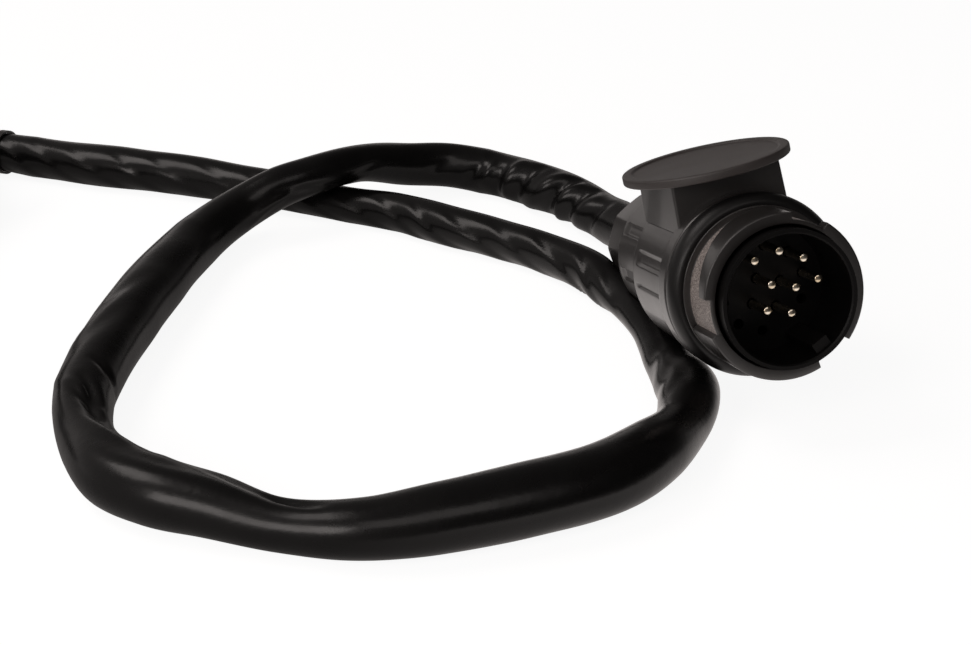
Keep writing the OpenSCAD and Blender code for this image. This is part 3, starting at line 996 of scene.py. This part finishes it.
    def cap_outline(self, angle: float) -> list[Point]:
        """Section of the rear cap at an angle, with its grip pockets sunk in.

        Args:
            angle: Direction in degrees.

        Returns:
            Radius and depth of the section's points, in millimetres.
        """
        thread_bore = self.thread_r - self.thread_wall
        thread_end = self.taper_rear + self.thread_length
        corners = [
            (thread_bore, self.cap_front, 0.0),
            (self.cap_r, self.cap_front, self.cap_edge),
            (self.cap_r, self.cap_rear, self.cap_edge),
            (self.taper_r, self.taper_rear, self.taper_edge),
            (self.thread_r, self.taper_rear, 0.0),
            (self.thread_r, thread_end, 0.0),
            (thread_bore, thread_end, 0.0),
        ]
        pitch = 360.0 / self.pocket_count
        aside = min(abs(turn_between(angle, self.pocket_at + k * pitch)) for k in range(self.pocket_count))
        across = 1.0 - smooth_step(*self.pocket_wall, aside)
        shaped = []
        for r, d in divided(rounded(corners), self.mesh_step):
            along = smooth_step(*self.pocket_front, d) * (1.0 - smooth_step(*self.pocket_back, d))
            sink = self.pocket_depth * across * along if r > self.cap_r - self.pocket_skin else 0.0
            shaped.append((r - sink, d))
        return shaped

    def nut_outline(self, angle: float) -> list[Point]:
        """Section of the gland nut at an angle.

        Args:
            angle: Direction in degrees.

        Returns:
            Radius and depth of the section's points, in millimetres.
        """
        pitch = 360.0 / self.nut_flats
        apothem = self.nut_r * math.cos(math.radians(pitch / 2))
        aside = turn_between((angle + HANDLE_ROLL) % pitch, pitch / 2)
        flat = apothem / math.cos(math.radians(aside))
        side = min(flat, self.nut_r - self.nut_corner)
        crown = self.nut_back - self.nut_chamfer + (self.nut_r - side)
        bore = self.thread_r + self.thread_gap
        floor = self.nut_back - self.nut_bottom
        fine, middle, broad = self.nut_edges
        return rounded(
            [
                (bore, self.nut_front, 0.0),
                (side - self.nut_lead, self.nut_front, fine),
                (side, self.nut_front + self.nut_lead, middle),
                (side, crown, broad),
                (self.nut_r - self.nut_chamfer, self.nut_back, middle),
                (self.sleeve_hole_r, self.nut_back, broad),
                (self.sleeve_hole_r, floor, 0.0),
                (bore, floor, 0.0),
            ]
        )

    def dress(self, finishes: Finishes) -> None:
        """Builds the core's visible pieces and dresses the solids that stay.

        Args:
            finishes: Finishes of the whole object.
        """
        pins = [f"contact_pin_{k + 1}" for k in range(len(self.contacts()))]
        place(self.build_pins(finishes.plate), Body.CORE, Slot.METAL, finishes.plate, pins)
        cap = turned("rear_cap_look", self.cap_outline, even_turn(self.steps))
        place(cap, Body.CORE, Slot.NYLON, finishes.nylon, ["rear_cap"])
        nut = turned("gland_nut_look", self.nut_outline, even_turn(self.steps))
        place(nut, Body.CORE, Slot.NYLON, finishes.nylon, ["gland_nut"])
        kept = {
            # The insert's darker colour is painted shade
            "contact_insert": finishes.insert,
            "terminal_screws": finishes.plate,
            "insert_o_ring": finishes.rubber,
            "core_barrel": finishes.nylon,
            "core_wires": finishes.insulation,
            "clamp_lower": finishes.nylon,
            "clamp_upper": finishes.nylon,
            "clamp_screws": finishes.plate,
            "gland_seal": finishes.rubber,
            "gland_washer": finishes.plate,
        }
        for name, finish in kept.items():
            solid = bpy.data.objects[name]
            solid.data.materials.clear()
            solid.data.materials.append(finish)
            LOG.info("%s keeps its solid", name)


@dataclass(frozen=True)
class Fold:
    """One crease in the sleeve's skin.

    Attributes:
        at: Distance of its middle along the sleeve, in millimetres.
        angle: Direction of its middle round the sleeve, in degrees from the right side over the top.
        lean: Direction of its line in degrees, 0 along the sleeve and 90 round it.
        reach: Half its length in millimetres.
        width: Half its width in millimetres.
        depth: How far the skin sinks, or rises where it is negative.
    """

    at: float
    angle: float
    lean: float
    reach: float
    width: float
    depth: float
    # Widths from its line at which a crease has faded
    fade_widths: ClassVar[float] = 3.0

    def near(self, along: float) -> bool:
        """Whether the crease reaches a place along the sleeve."""
        return abs(along - self.at) <= self.reach + self.fade_widths * self.width

    def sink(self, along: float, angle: float, radius: float) -> float:
        """Sink of the skin at a place on the sleeve, in millimetres.

        Args:
            along: Distance along the sleeve in millimetres.
            angle: Direction round the sleeve in degrees.
            radius: Radius of the sleeve there in millimetres.

        Returns:
            Sink in millimetres, 0 past the crease's ends.
        """
        run = along - self.at
        arc = math.radians(turn_between(angle, self.angle)) * radius
        lean = math.radians(self.lean)
        ahead = run * math.cos(lean) + arc * math.sin(lean)
        if abs(ahead) > self.reach:
            return 0.0
        aside = arc * math.cos(lean) - run * math.sin(lean)
        fade = 1.0 - (ahead / self.reach) ** 2
        return self.depth * fade * math.exp(-((aside / self.width) ** 2))


@dataclass
class Lead:
    """Soft sleeve with its loop, coil, ties and stripped cores.

    Sizes are in millimetres and degrees. A pair is the start and end of a change, and directions
    round the sleeve count from its right side over the top.
    """

    finishes: Finishes
    free_half: float = 8.0
    gland_share: float = 0.9
    diameter: float = 16.5
    exit_depth: float = 104.0
    sides: int = 48
    step: float = 1.15
    knot_steps: int = 24
    path_steps: int = 6
    sleeve_sharp: float = 60.0
    floor_gap: float = 0.05
    dent_length: float = 17.0
    dent_round: float = 0.8
    dent_depth: float = 0.35
    press_from: float = 400.0
    press_gap: float = 0.35
    press_step: float = 0.5
    press_ease: float = 0.1
    twist_from: Point = (628.0, 660.0)
    twist_to: Point = (915.0, 945.0)
    twist_low: Point = (98.0, 128.0)
    twist_high: Point = (215.0, 250.0)
    twist_calm: Point = (700.0, 800.0)
    twist_calming: float = 0.6
    pleat_pitch: float = 17.5
    pleat_middle: float = 150.0
    pleat_slant: float = 4.6
    pleat_crest: float = 0.78
    pleat_least: float = 0.25
    wander_length: float = 31.0
    wander: float = 0.5
    coil_mid: Point = (-311.0, 222.0)
    coil_r: float = 84.0
    coil_layer: float = 14.0
    coil_from: float = 61.0
    coil_turn: float = 640.0
    coil_climb: Point = (250.0, 365.0)
    coil_knots: int = 64
    tie_w: float = 2.8
    tie_t: float = 0.8
    tie_steps: int = 72
    tie_sharp: float = 40.0
    tie_head_half: float = 2.1
    tie_head_rise: Point = (0.2, 2.6)
    edge_tie_at: Point = (-211.5, 260.7)
    edge_tie_head: float = -35.0
    edge_tie_gap: float = 0.25
    coil_tie_at: float = 200.0
    coil_tie_head: float = 90.0
    coil_tie_gap: float = 0.45
    core_count: int = 4
    core_r: float = 1.05
    core_sides: int = 14
    core_sharp: float = 50.0
    core_pitch: float = 2.5
    core_fan: float = 0.5
    tail_length: float = 38.0
    tail_inside: float = 5.0
    tail_steps: int = 16
    tail_rise: Point = (-0.2, 0.5)
    tail_wander: float = 0.5
    # Points of the loop: x, y, height over the floor, and half width as a share of the free one
    route: tuple[tuple[float, float, float, float], ...] = (
        (0, 120, 11.5, 0.94),
        (-1.5, 133, 9, 1.02),
        (-5, 149, 7.7, 1.06),
        (-11, 166, 8, 1.08),
        (-19.5, 179, 8.2, 1.1),
        (-31, 194.5, 8, 1.08),
        (-47.5, 202, 10.3, 1.03),
        (-66, 200, 13.2, 0.97),
        (-81, 192, 18, 0.86),
        (-92, 184.5, 20, 0.84),
        (-104, 179, 19.5, 0.88),
        (-117, 175.5, 17, 0.92),
        (-131, 170.5, 12, 0.98),
        (-145.5, 155.5, 9, 1.1),
        (-160, 126, 9, 1.23),
        (-173.5, 92, 9, 1.22),
        (-181.5, 66, 8.6, 1.16),
        (-184.3, 49, 8, 1.04),
        (-183.6, 31.5, 7.6, 0.98),
        (-177.5, 12, 8.6, 1.18),
        (-167.3, 0.5, 8.7, 1.21),
        (-155, -7.5, 8, 1.16),
        (-138, -18.8, 6.5, 0.9),
        (-118, -27, 7.6, 1.03),
        (-98, -27.6, 8.7, 1.18),
        (-77.5, -25.5, 9, 1.25),
        (-56.2, -20.8, 9.2, 1.27),
        (-40.6, -11.2, 8.7, 1.18),
        (-27.5, 3, 7, 0.98),
        (-20.8, 15, 7.5, 1.06),
        (-18, 26.5, 7, 1.16),
        (-16.6, 42, 5.1, 0.96),
        (-15.4, 54, 4.5, 0.87),
        (-14.4, 67, 4.8, 0.86),
        (-15.6, 82, 5.2, 0.85),
        (-19.4, 96, 6.2, 0.88),
        (-22.6, 106.8, 6.8, 0.91),
        (-32.5, 123.8, 6.8, 0.88),
        (-45, 139, 6.8, 0.91),
        (-59.3, 153.4, 7, 0.95),
        (-74, 169.5, 6.8, 0.9),
        (-90, 182, 6.3, 0.84),
        (-106, 194.5, 6.8, 0.9),
        (-123, 207.5, 7, 0.96),
        (-140, 219, 7.4, 1),
        (-158, 229.5, 7.6, 1.02),
        (-176, 239, 7.8, 1.05),
        (-195, 251, 7.6, 1),
        (-212, 261, 8.3, 0.92),
        (-223, 267.5, 7.6, 0.98),
        (-238, 276.5, 7, 1),
        (-253, 286, 7, 1),
    )

    def __post_init__(self) -> None:
        """Works out the line that the sleeve follows and the outline that presses on it."""
        self.line: list[Vector] = self.resampled(self.spline(self.knots()), self.step)
        self.stations: list[float] = self.measured(self.line)
        self.length: float = self.stations[-1]
        self.press: list[Point] = self.press_outline()

    def knots(self) -> list[Vector]:
        """Points that the sleeve passes through, each with its half width as fourth number.

        Returns:
            The points in order, from the gland to the cut end.
        """
        lean = math.radians(LIE_PITCH)
        narrow = self.gland_share * self.free_half
        start = []
        for depth in (self.exit_depth, Core.nut_back):
            start.append(Vector((0.0, depth * math.cos(lean), -depth * math.sin(lean), narrow)))
        loop = [Vector((x, y, GROUND + h, share * self.free_half)) for x, y, h, share in self.route]
        coil = []
        for k in range(self.coil_knots + 1):
            turn = self.coil_turn * k / self.coil_knots
            c, s = round_unit(self.coil_from + turn)
            rise = self.coil_layer * (0.5 + smooth_step(*self.coil_climb, turn))
            x, y = self.coil_mid[0] + self.coil_r * c, self.coil_mid[1] + self.coil_r * s
            coil.append(Vector((x, y, GROUND + rise, self.free_half)))
        return start + loop + coil

    def press_outline(self) -> list[Point]:
        """Depth and radius of the plug's outline where it lies on the sleeve, front to back.

        Returns:
            The corners in order.
        """
        seal_r = Shell.lug_r - Shell.seal_inset + Shell.seal_r
        return [
            (Shell.collar_front, Shell.lug_r + self.press_ease / 2),
            (Shell.seal_front - self.press_step, Shell.lug_r + self.press_ease / 2),
            (Shell.seal_mid, seal_r + self.press_ease),
            (Shell.flange_back, Shell.flange_r + self.press_ease),
            (Shell.flange_back + self.press_step, Shell.body_r),
            (Shell.body_back, Shell.body_r),
            (Shell.body_back + self.press_step, Core.cap_r),
            (Core.cap_rear, Core.cap_r),
            (Core.taper_rear, Core.nut_r),
            (Core.nut_back, Core.nut_r),
        ]

    def spline(self, knots: Sequence[Vector]) -> list[Vector]:
        """Smooth line through the knots, in fine steps.

        Args:
            knots: Points to pass through.

        Returns:
            Points of the smooth line.
        """
        fine: list[Vector] = []
        last = len(knots) - 1
        for i in range(last):
            p0, p1, p2, p3 = (knots[min(max(i + k, 0), last)] for k in (-1, 0, 1, 2))
            for step in range(self.knot_steps):
                t = step / self.knot_steps
                curve = (2 * p0 - 5 * p1 + 4 * p2 - p3) * t * t
                fine.append(0.5 * (2 * p1 + (p2 - p0) * t + curve + (3 * p1 - p0 - 3 * p2 + p3) * t**3))
        fine.append(knots[-1].copy())
        return fine

    @staticmethod
    def measured(line: Sequence[Vector]) -> list[float]:
        """Distance along a line of each of its points.

        Args:
            line: Points in order.

        Returns:
            The distances in millimetres.
        """
        stations = [0.0]
        for before, after in zip(line, line[1:]):
            stations.append(stations[-1] + (after - before).xyz.length)
        return stations

    @classmethod
    def resampled(cls, line: Sequence[Vector], step: float) -> list[Vector]:
        """The same line in even steps.

        Args:
            line: Points in order.
            step: Longest step in millimetres.

        Returns:
            Points of the line at even distances.
        """
        stations = cls.measured(line)
        count = math.ceil(stations[-1] / step)
        even: list[Vector] = []
        i = 0
        for k in range(count + 1):
            want = stations[-1] * k / count
            while i < len(stations) - 2 and stations[i + 1] < want:
                i += 1
            span = max(stations[i + 1] - stations[i], TINY)
            even.append(line[i].lerp(line[i + 1], (want - stations[i]) / span))
        return even

    def folds(self) -> list[Fold]:
        """Creases of the skin: the ones that are plain to see, in order from the gland.

        Returns:
            The creases.
        """
        return [
            Fold(43, 160, 60, 10, 2.0, 1.5),
            Fold(51, 165, 61, 11, 3.4, -1.8),
            Fold(58, 160, 66, 13, 1.9, 2.3),
            Fold(64, 170, 71, 12, 2.2, -1.9),
            Fold(70, 162, 62, 14, 1.8, 2.4),
            Fold(77, 165, 54, 14, 3.0, -2.0),
            Fold(86, 162, 66, 13, 2.3, 2.2),
            Fold(92, 160, 78, 11, 2.4, -1.6),
            Fold(98, 175, 70, 9, 2.2, 1.5),
            Fold(105, 160, 62, 7, 2.2, -1.0),
            Fold(112, 178, 50, 8, 2.4, 0.9),
            Fold(128, 165, 23, 9, 2.0, 0.5),
            Fold(168, 190, 16, 12, 1.4, 0.7),
            Fold(186, 196, -16, 18, 1.6, 0.9),
            Fold(203, 188, 8, 14, 1.4, -0.7),
            Fold(300, 60, -19, 24, 3.0, 0.7),
            Fold(318, 75, -16, 22, 3.4, 0.6),
            Fold(340, 136, 52, 9, 1.0, 0.9),
            Fold(347, 60, 40, 11, 1.8, -0.5),
            Fold(352, 110, 23, 10, 1.4, 1.2),
            Fold(358, 100, 23, 12, 1.4, 1.3),
            Fold(364, 120, 8, 16, 1.8, 1.4),
            Fold(372, 92, 16, 26, 2.2, -1.0),
            Fold(405, 100, 4, 26, 3.0, 0.7),
            Fold(425, 118, -8, 24, 2.4, 0.9),
            Fold(440, 106, -12, 12, 1.4, 1.2),
            Fold(577, 105, -23, 12, 2.4, 0.5),
            Fold(587, 118, -23, 13, 2.6, 0.7),
            Fold(597, 150, -23, 14, 3.0, 0.6),
        ]

    def twist_crease(self, along: float, angle: float) -> float:
        """Sink of the slanting creases that the twist leaves in the straight part of the lead.

        Args:
            along: Distance along the sleeve in millimetres.
            angle: Direction round the sleeve in degrees.

        Returns:
            Sink in millimetres.
        """
        here = smooth_step(*self.twist_from, along) * (1.0 - smooth_step(*self.twist_to, along))
        here *= smooth_step(*self.twist_low, angle) * (1.0 - smooth_step(*self.twist_high, angle))
        if here == 0.0:
            return 0.0
        wander = noise.noise(Vector((along / self.wander_length, 0.4, 0.0)))
        slant = (angle - self.pleat_middle) / self.pleat_slant
        place = (along + slant) / self.pleat_pitch + self.wander * wander
        step = place % 1.0
        if step < self.pleat_crest:
            pleat = smooth_step(0.0, self.pleat_crest, step)
        else:
            pleat = 1.0 - smooth_step(self.pleat_crest, 1.0, step)
        strength = 0.5 + 0.5 * noise.noise(Vector((math.floor(place) * 0.7, 0.0, 2.0)))
        strength *= 1.0 - self.twist_calming * smooth_step(*self.twist_calm, along)
        return here * (self.pleat_least + (1.0 - self.pleat_least) * strength) * (pleat - 0.5)

    def pressed(self, spot: Vector) -> Vector:
        """Moves a point of the soft skin out of the plug that lies on it.

        Args:
            spot: Point in millimetres.

        Returns:
            The point itself, or its place just outside the plug.
        """
        local = POSE.inverted() @ spot
        radius = math.hypot(local.x, local.y)
        for (front, r0), (back, r1) in zip(self.press, self.press[1:]):
            if front <= -local.z < back:
                need = r0 + (r1 - r0) * (-local.z - front) / (back - front) + self.press_gap
                if radius < need:
                    grow = need / radius
                    return POSE @ Vector((local.x * grow, local.y * grow, local.z))
        return spot

    def build_sleeve(self) -> bpy.types.Object:
        """Builds the sleeve's skin as one tube with its creases and dents.

        Returns:
            The sleeve.
        """
        folds = self.folds()
        rings: list[list[Vector]] = []
        for i, knot in enumerate(self.line):
            along = self.stations[i]
            _, side, up = self.axes(i)
            middle = knot.xyz
            width = knot.w
            height = min(width, middle.z - GROUND)
            near = [fold for fold in folds if fold.near(along)]
            ring = []
            for q in even_turn(self.sides):
                c, s = round_unit(q)
                sink = sum(fold.sink(along, q, (width + height) / 2) for fold in near)
                sink += self.twist_crease(along, q)
                dent = Vector((along / self.dent_length, c * self.dent_round, s * self.dent_round))
                sink -= noise.noise(dent) * self.dent_depth
                spot = middle + side * c * (width - sink) + up * s * (height - sink)
                if along > self.press_from:
                    spot = self.pressed(spot)
                spot.z = max(spot.z, GROUND + self.floor_gap)
                ring.append(spot)
            rings.append(ring)
        return tube("sleeve", rings, False, self.sleeve_sharp)

    def axes(self, i: int) -> tuple[Vector, Vector, Vector]:
        """Directions ahead, to the side and upwards at a point of the line.

        Args:
            i: Number of the point.

        Returns:
            The three directions.
        """
        last = len(self.line) - 1
        ahead = (self.line[min(i + 2, last)] - self.line[max(i - 2, 0)]).xyz.normalized()
        side = ahead.cross(Vector((0.0, 0.0, 1.0))).normalized()
        return ahead, side, side.cross(ahead)

    def strap(self, name: str, loop: Sequence[tuple[Vector, Vector]], along: Vector) -> bpy.types.Object:
        """Flat strap with a locking head at the start of its loop.

        Args:
            name: Name of the piece.
            loop: Points of its inner face with the directions outwards, in millimetres.
            along: Direction of the strap's width.

        Returns:
            The new object.
        """
        half = along * self.tie_w / 2
        rings = []
        for point, out in loop:
            top = point + out * self.tie_t
            rings.append([point - half, point + half, top + half, top - half])
        band = tube(f"{name}_band", rings, True, self.tie_sharp)
        point, out = loop[0]
        aside = along.cross(out) * self.tie_head_half
        head = []
        for rise in self.tie_head_rise:
            foot = point + out * rise
            near, far = foot - aside, foot + aside
            head.append([near - half, near + half, far + half, far - half])
        return join(name, [band, tube(f"{name}_head", head, False, self.tie_sharp)])

    def build_edge_tie(self) -> bpy.types.Object:
        """Builds the tie round the sleeve, its head low on the far side.

        Returns:
            The tie.
        """
        at = Vector(self.edge_tie_at)
        i = min(range(len(self.line)), key=lambda k: (self.line[k].xy - at).length)
        ahead, side, up = self.axes(i)
        middle, width = self.line[i].xyz, self.line[i].w
        height = min(width, middle.z - GROUND)
        gap = self.edge_tie_gap
        loop = []
        for q in even_turn(self.tie_steps):
            c, s = round_unit(q + self.edge_tie_head)
            point = middle + side * c * (width + gap) + up * s * (height + gap)
            loop.append((point, (side * c + up * s).normalized()))
        return self.strap("edge_strap", loop, ahead)

    def build_coil_tie(self) -> bpy.types.Object:
        """Builds the tie drawn tight round the two turns of the coil.

        Returns:
            The tie.
        """
        out = Vector((*round_unit(self.coil_tie_at), 0.0))
        rise = Vector((0.0, 0.0, 1.0))
        foot = Vector((*self.coil_mid, GROUND)) + out * self.coil_r
        gap = self.coil_tie_gap
        loop = []
        for turn in even_turn(self.tie_steps):
            c, s = round_unit(turn + self.coil_tie_head)
            level = self.coil_layer * (1.5 if s >= 0.0 else 0.5)
            reach = out * c * (self.free_half + gap) + rise * s * (self.coil_layer / 2 + gap)
            loop.append((foot + rise * level + reach, (out * c + rise * s).normalized()))
        return self.strap("coil_strap", loop, out.cross(rise))

    def build_core_tails(self) -> bpy.types.Object:
        """Builds the cores' ends, which come out of the sleeve's cut end and stand up over it.

        Returns:
            The cores' ends in one piece.
        """
        ahead, side, _ = self.axes(len(self.line) - 1)
        end = self.line[-1].xyz
        tails = []
        for k in range(self.core_count):
            place_across = k - (self.core_count - 1) / 2
            rings = []
            for j in range(self.tail_steps + 1):
                t = j / self.tail_steps
                run = self.tail_length * t - self.tail_inside * (1.0 - t)
                fan = place_across * (self.core_pitch + self.core_fan * t * t)
                lift = (self.coil_layer / 2 + self.core_r) * smooth_step(*self.tail_rise, t)
                lift += self.tail_wander * noise.noise(Vector((2.0 * t, 7.0 * k, 0.5)))
                middle = end + ahead * run + side * fan + Vector((0.0, 0.0, lift))
                ring = []
                for q in even_turn(self.core_sides):
                    c, s = round_unit(q)
                    ring.append(middle + side * c * self.core_r + Vector((0.0, 0.0, s * self.core_r)))
                rings.append(ring)
            tails.append(tube(f"core_tail_{k}", rings, False, self.core_sharp))
        return join("core_tails", tails)

    def dress(self) -> None:
        sleeve = self.build_sleeve()
        place(sleeve, Body.CORE, Slot.VINYL, self.finishes.vinyl, ["sleeve_tube", "sleeve_coil"])
        edge = self.build_edge_tie()
        place(edge, Body.CORE, Slot.NYLON, self.finishes.nylon, ["edge_tie"])
        bundle = self.build_coil_tie()
        place(bundle, Body.CORE, Slot.NYLON, self.finishes.nylon, ["coil_tie"])
        tails = self.build_core_tails()
        place(tails, Body.CORE, Slot.CORES, self.finishes.insulation, ["core_ends"])
        LOG.info("sleeve is %.3f m long", self.length * MM)


@dataclass(frozen=True)
class LightPool:
    """One pool of light on the floor, as the plastics mirror it.

    Attributes:
        middle: Middle of the pool in metres.
        core: Distance in metres up to which it is at full level.
        reach: Distance in metres at which it has faded.
        level: Brightness in its core.
    """

    middle: Spot
    core: float
    reach: float
    level: float


@dataclass(frozen=True)
class Lamp:
    """One soft rectangular lamp.

    Attributes:
        name: Name of the lamp.
        at: Place in metres.
        size: Width and height in metres.
        watts: Power.
    """

    name: str
    at: Spot
    size: Point
    watts: float

    def hang(self, towards: Spot, colour: Spot) -> None:
        """Hangs the lamp so that it faces a point.

        Args:
            towards: Point in metres.
            colour: Linear colour of its light.
        """
        data = bpy.data.lights.new(self.name, "AREA")
        data.shape = "RECTANGLE"
        data.size, data.size_y = self.size
        data.energy = self.watts
        data.color = colour
        lamp = bpy.data.objects.new(self.name, data)
        lamp.location = self.at
        lamp.rotation_euler = (Vector(towards) - Vector(self.at)).to_track_quat("-Z", "Y").to_euler()
        bpy.context.scene.collection.objects.link(lamp)


@dataclass(frozen=True)
class Studio:
    """Camera, pale floor, white surround and soft lamps.

    The camera is in millimetres and pixels of the photograph, the rest in metres.
    """

    camera_at: Spot = (-164.9, -349.5, 181.9)
    camera_towards: Spot = (0.2058, 0.8709, -0.4462)
    focal_px: float = 1600.0
    frame_px: float = 971.0
    sensor: float = 36.0
    clip: Point = (0.01, 50.0)
    warmth: Spot = (1.0, 0.93, 0.9)
    floor_size: float = 16.0
    floor_drop: float = 0.0001
    paper: float = 0.86
    paper_white: float = 1.3
    paper_glow: float = 0.7
    paper_dim: float = 0.22
    pools: tuple[LightPool, ...] = (
        LightPool((-0.03, 0.05, -0.0436), 0.02, 0.13, 1.3),
        LightPool((0.04, -0.14, -0.0436), 0.05, 0.2, 1.4),
        LightPool((0.3, 1.6, -0.0436), 0.6, 1.2, 1.2),
    )
    # Light of the room along an axis: where it starts and ends changing, and its levels there
    room: tuple[tuple[str, Point, Point], ...] = (
        ("X", (0.5, -0.9), (0.03, 0.3)),
        ("Y", (0.2, 0.9), (0.0, 0.5)),
        ("Z", (0.02, 0.3), (1.0, 0.0)),
    )
    aim: Spot = (-0.06, 0.08, -0.02)
    lamps: tuple[Lamp, ...] = (
        Lamp("key_softbox", (-0.75, 0.3, 1.0), (0.6, 0.5), 2.6),
        Lamp("front_panel", (-0.1, -0.7, 0.9), (0.9, 0.5), 1.3),
        Lamp("side_card", (-0.62, -0.42, 0.36), (0.3, 0.3), 1.2),
    )

    def build_camera(self) -> None:
        """Sets the camera where the photograph was taken from."""
        data = bpy.data.cameras.new("camera")
        data.sensor_fit = "HORIZONTAL"
        data.sensor_width = self.sensor
        data.lens = self.focal_px / self.frame_px * self.sensor
        data.clip_start, data.clip_end = self.clip
        camera = bpy.data.objects.new("camera", data)
        camera.location = Vector(self.camera_at) * MM
        camera.rotation_euler = Vector(self.camera_towards).to_track_quat("-Z", "Y").to_euler()
        bpy.context.scene.collection.objects.link(camera)
        bpy.context.scene.camera = camera

    def white_where_seen(
        self, tree: bpy.types.NodeTree, seen: bpy.types.NodeSocket
    ) -> bpy.types.NodeSocket:
        """Warm light that is white to the camera.

        Args:
            tree: Tree that takes the nodes.
            seen: Socket that is 1 for what the camera sees.

        Returns:
            The socket with the colour.
        """
        tones = {6: (*self.warmth, 1.0), 7: (1.0, 1.0, 1.0, 1.0)}
        return add_node(tree, "ShaderNodeMix", tones, {0: seen}, data_type="RGBA").outputs[2]

    def pooled_light(self, tree: bpy.types.NodeTree) -> bpy.types.NodeSocket:
        """Level of the light that lies on the floor.

        Args:
            tree: Tree of the floor's material.

        Returns:
            The socket with the brightest pool's level.
        """
        where = add_node(tree, "ShaderNodeTexCoord").outputs["Object"]
        lit = None
        for pool in self.pools:
            off = add_node(tree, "ShaderNodeVectorMath", {1: pool.middle}, {0: where}, operation="DISTANCE")
            fading = ramp_values((pool.core, pool.reach), (pool.level, self.paper_dim))
            fade = add_node(tree, "ShaderNodeMapRange", fading, {"Value": off.outputs["Value"]})
            level = fade.outputs["Result"]
            if lit is None:
                lit = level
            else:
                both = {0: lit, 1: level}
                lit = add_node(tree, "ShaderNodeMath", links=both, operation="MAXIMUM").outputs[0]
        return lit

    def floor_material(self) -> bpy.types.Material:
        """White paper that shows white to the camera and keeps a light shadow.

        Returns:
            The material.
        """
        material = bpy.data.materials.new("white_paper")
        material.use_nodes = True
        tree = material.node_tree
        tree.nodes.remove(tree.nodes["Principled BSDF"])
        ray = add_node(tree, "ShaderNodeLightPath")
        grey = {"Color": (self.paper, self.paper, self.paper, 1.0)}
        paper = add_node(tree, "ShaderNodeBsdfDiffuse", grey)
        lit = self.pooled_light(tree)
        straight = {0: ray.outputs["Is Camera Ray"], 1: ray.outputs["Is Transmission Ray"]}
        seen = add_node(tree, "ShaderNodeMath", links=straight, operation="MAXIMUM").outputs[0]
        level = add_node(tree, "ShaderNodeMix", {"B": self.paper_white}, {"Factor": seen, "A": lit})
        glow = {"Color": self.white_where_seen(tree, seen), "Strength": level.outputs["Result"]}
        white = add_node(tree, "ShaderNodeEmission", links=glow)
        mirrored = {0: seen, 1: ray.outputs["Is Glossy Ray"]}
        also = add_node(tree, "ShaderNodeMath", links=mirrored, operation="MAXIMUM").outputs[0]
        share = add_node(tree, "ShaderNodeMath", {1: self.paper_glow}, {0: also}, operation="MULTIPLY")
        blend = {0: share.outputs[0], 1: paper.outputs["BSDF"], 2: white.outputs["Emission"]}
        mix = add_node(tree, "ShaderNodeMixShader", links=blend)
        tree.links.new(mix.outputs["Shader"], tree.nodes["Material Output"].inputs["Surface"])
        return material

    def build_floor(self) -> None:
        """Lays the pale floor under the plug and its lead."""
        half = self.floor_size / 2
        mesh = bpy.data.meshes.new("floor")
        level = GROUND * MM - self.floor_drop
        corners = [(-half, -half, level), (half, -half, level), (half, half, level), (-half, half, level)]
        mesh.from_pydata(corners, [], [(0, 1, 2, 3)])
        mesh.materials.append(self.floor_material())
        new_object("floor", mesh)

    def build_world(self) -> None:
        """White to the camera, a dim room with a bright back for everything else."""
        world = bpy.data.worlds.new("studio")
        bpy.context.scene.world = world
        world.use_nodes = True
        tree = world.node_tree
        back = tree.nodes["Background"]
        seen = add_node(tree, "ShaderNodeLightPath").outputs["Is Camera Ray"]
        where = add_node(tree, "ShaderNodeTexCoord").outputs["Generated"]
        apart = add_node(tree, "ShaderNodeSeparateXYZ", links={"Vector": where})
        parts = []
        for axis, span, levels in self.room:
            along = {"Value": apart.outputs[axis]}
            part = add_node(tree, "ShaderNodeMapRange", ramp_values(span, levels), along)
            parts.append(part.outputs["Result"])
        left, far, low = parts
        band = add_node(tree, "ShaderNodeMath", links={0: far, 1: low}, operation="MULTIPLY")
        level = add_node(tree, "ShaderNodeMath", links={0: left, 1: band.outputs[0]}, operation="ADD")
        both = {0: level.outputs[0], 1: seen}
        shown = add_node(tree, "ShaderNodeMath", links=both, operation="MAXIMUM")
        tree.links.new(shown.outputs[0], back.inputs["Strength"])
        tree.links.new(self.white_where_seen(tree, seen), back.inputs["Color"])

    def build(self) -> None:
        """Builds the whole studio."""
        bpy.context.scene.view_settings.view_transform = "Standard"
        self.build_floor()
        self.build_world()
        for lamp in self.lamps:
            lamp.hang(self.aim, self.warmth)


def main() -> None:
    """Builds the studio, the lead and the plug."""
    logging.basicConfig(level=logging.INFO, format="%(message)s")
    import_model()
    studio = Studio()
    studio.build_camera()
    finishes = Finishes()
    Lead(finishes).dress()
    Shell().dress(finishes)
    Core().dress(finishes)
    studio.build()


if __name__ == "__main__":
    main()
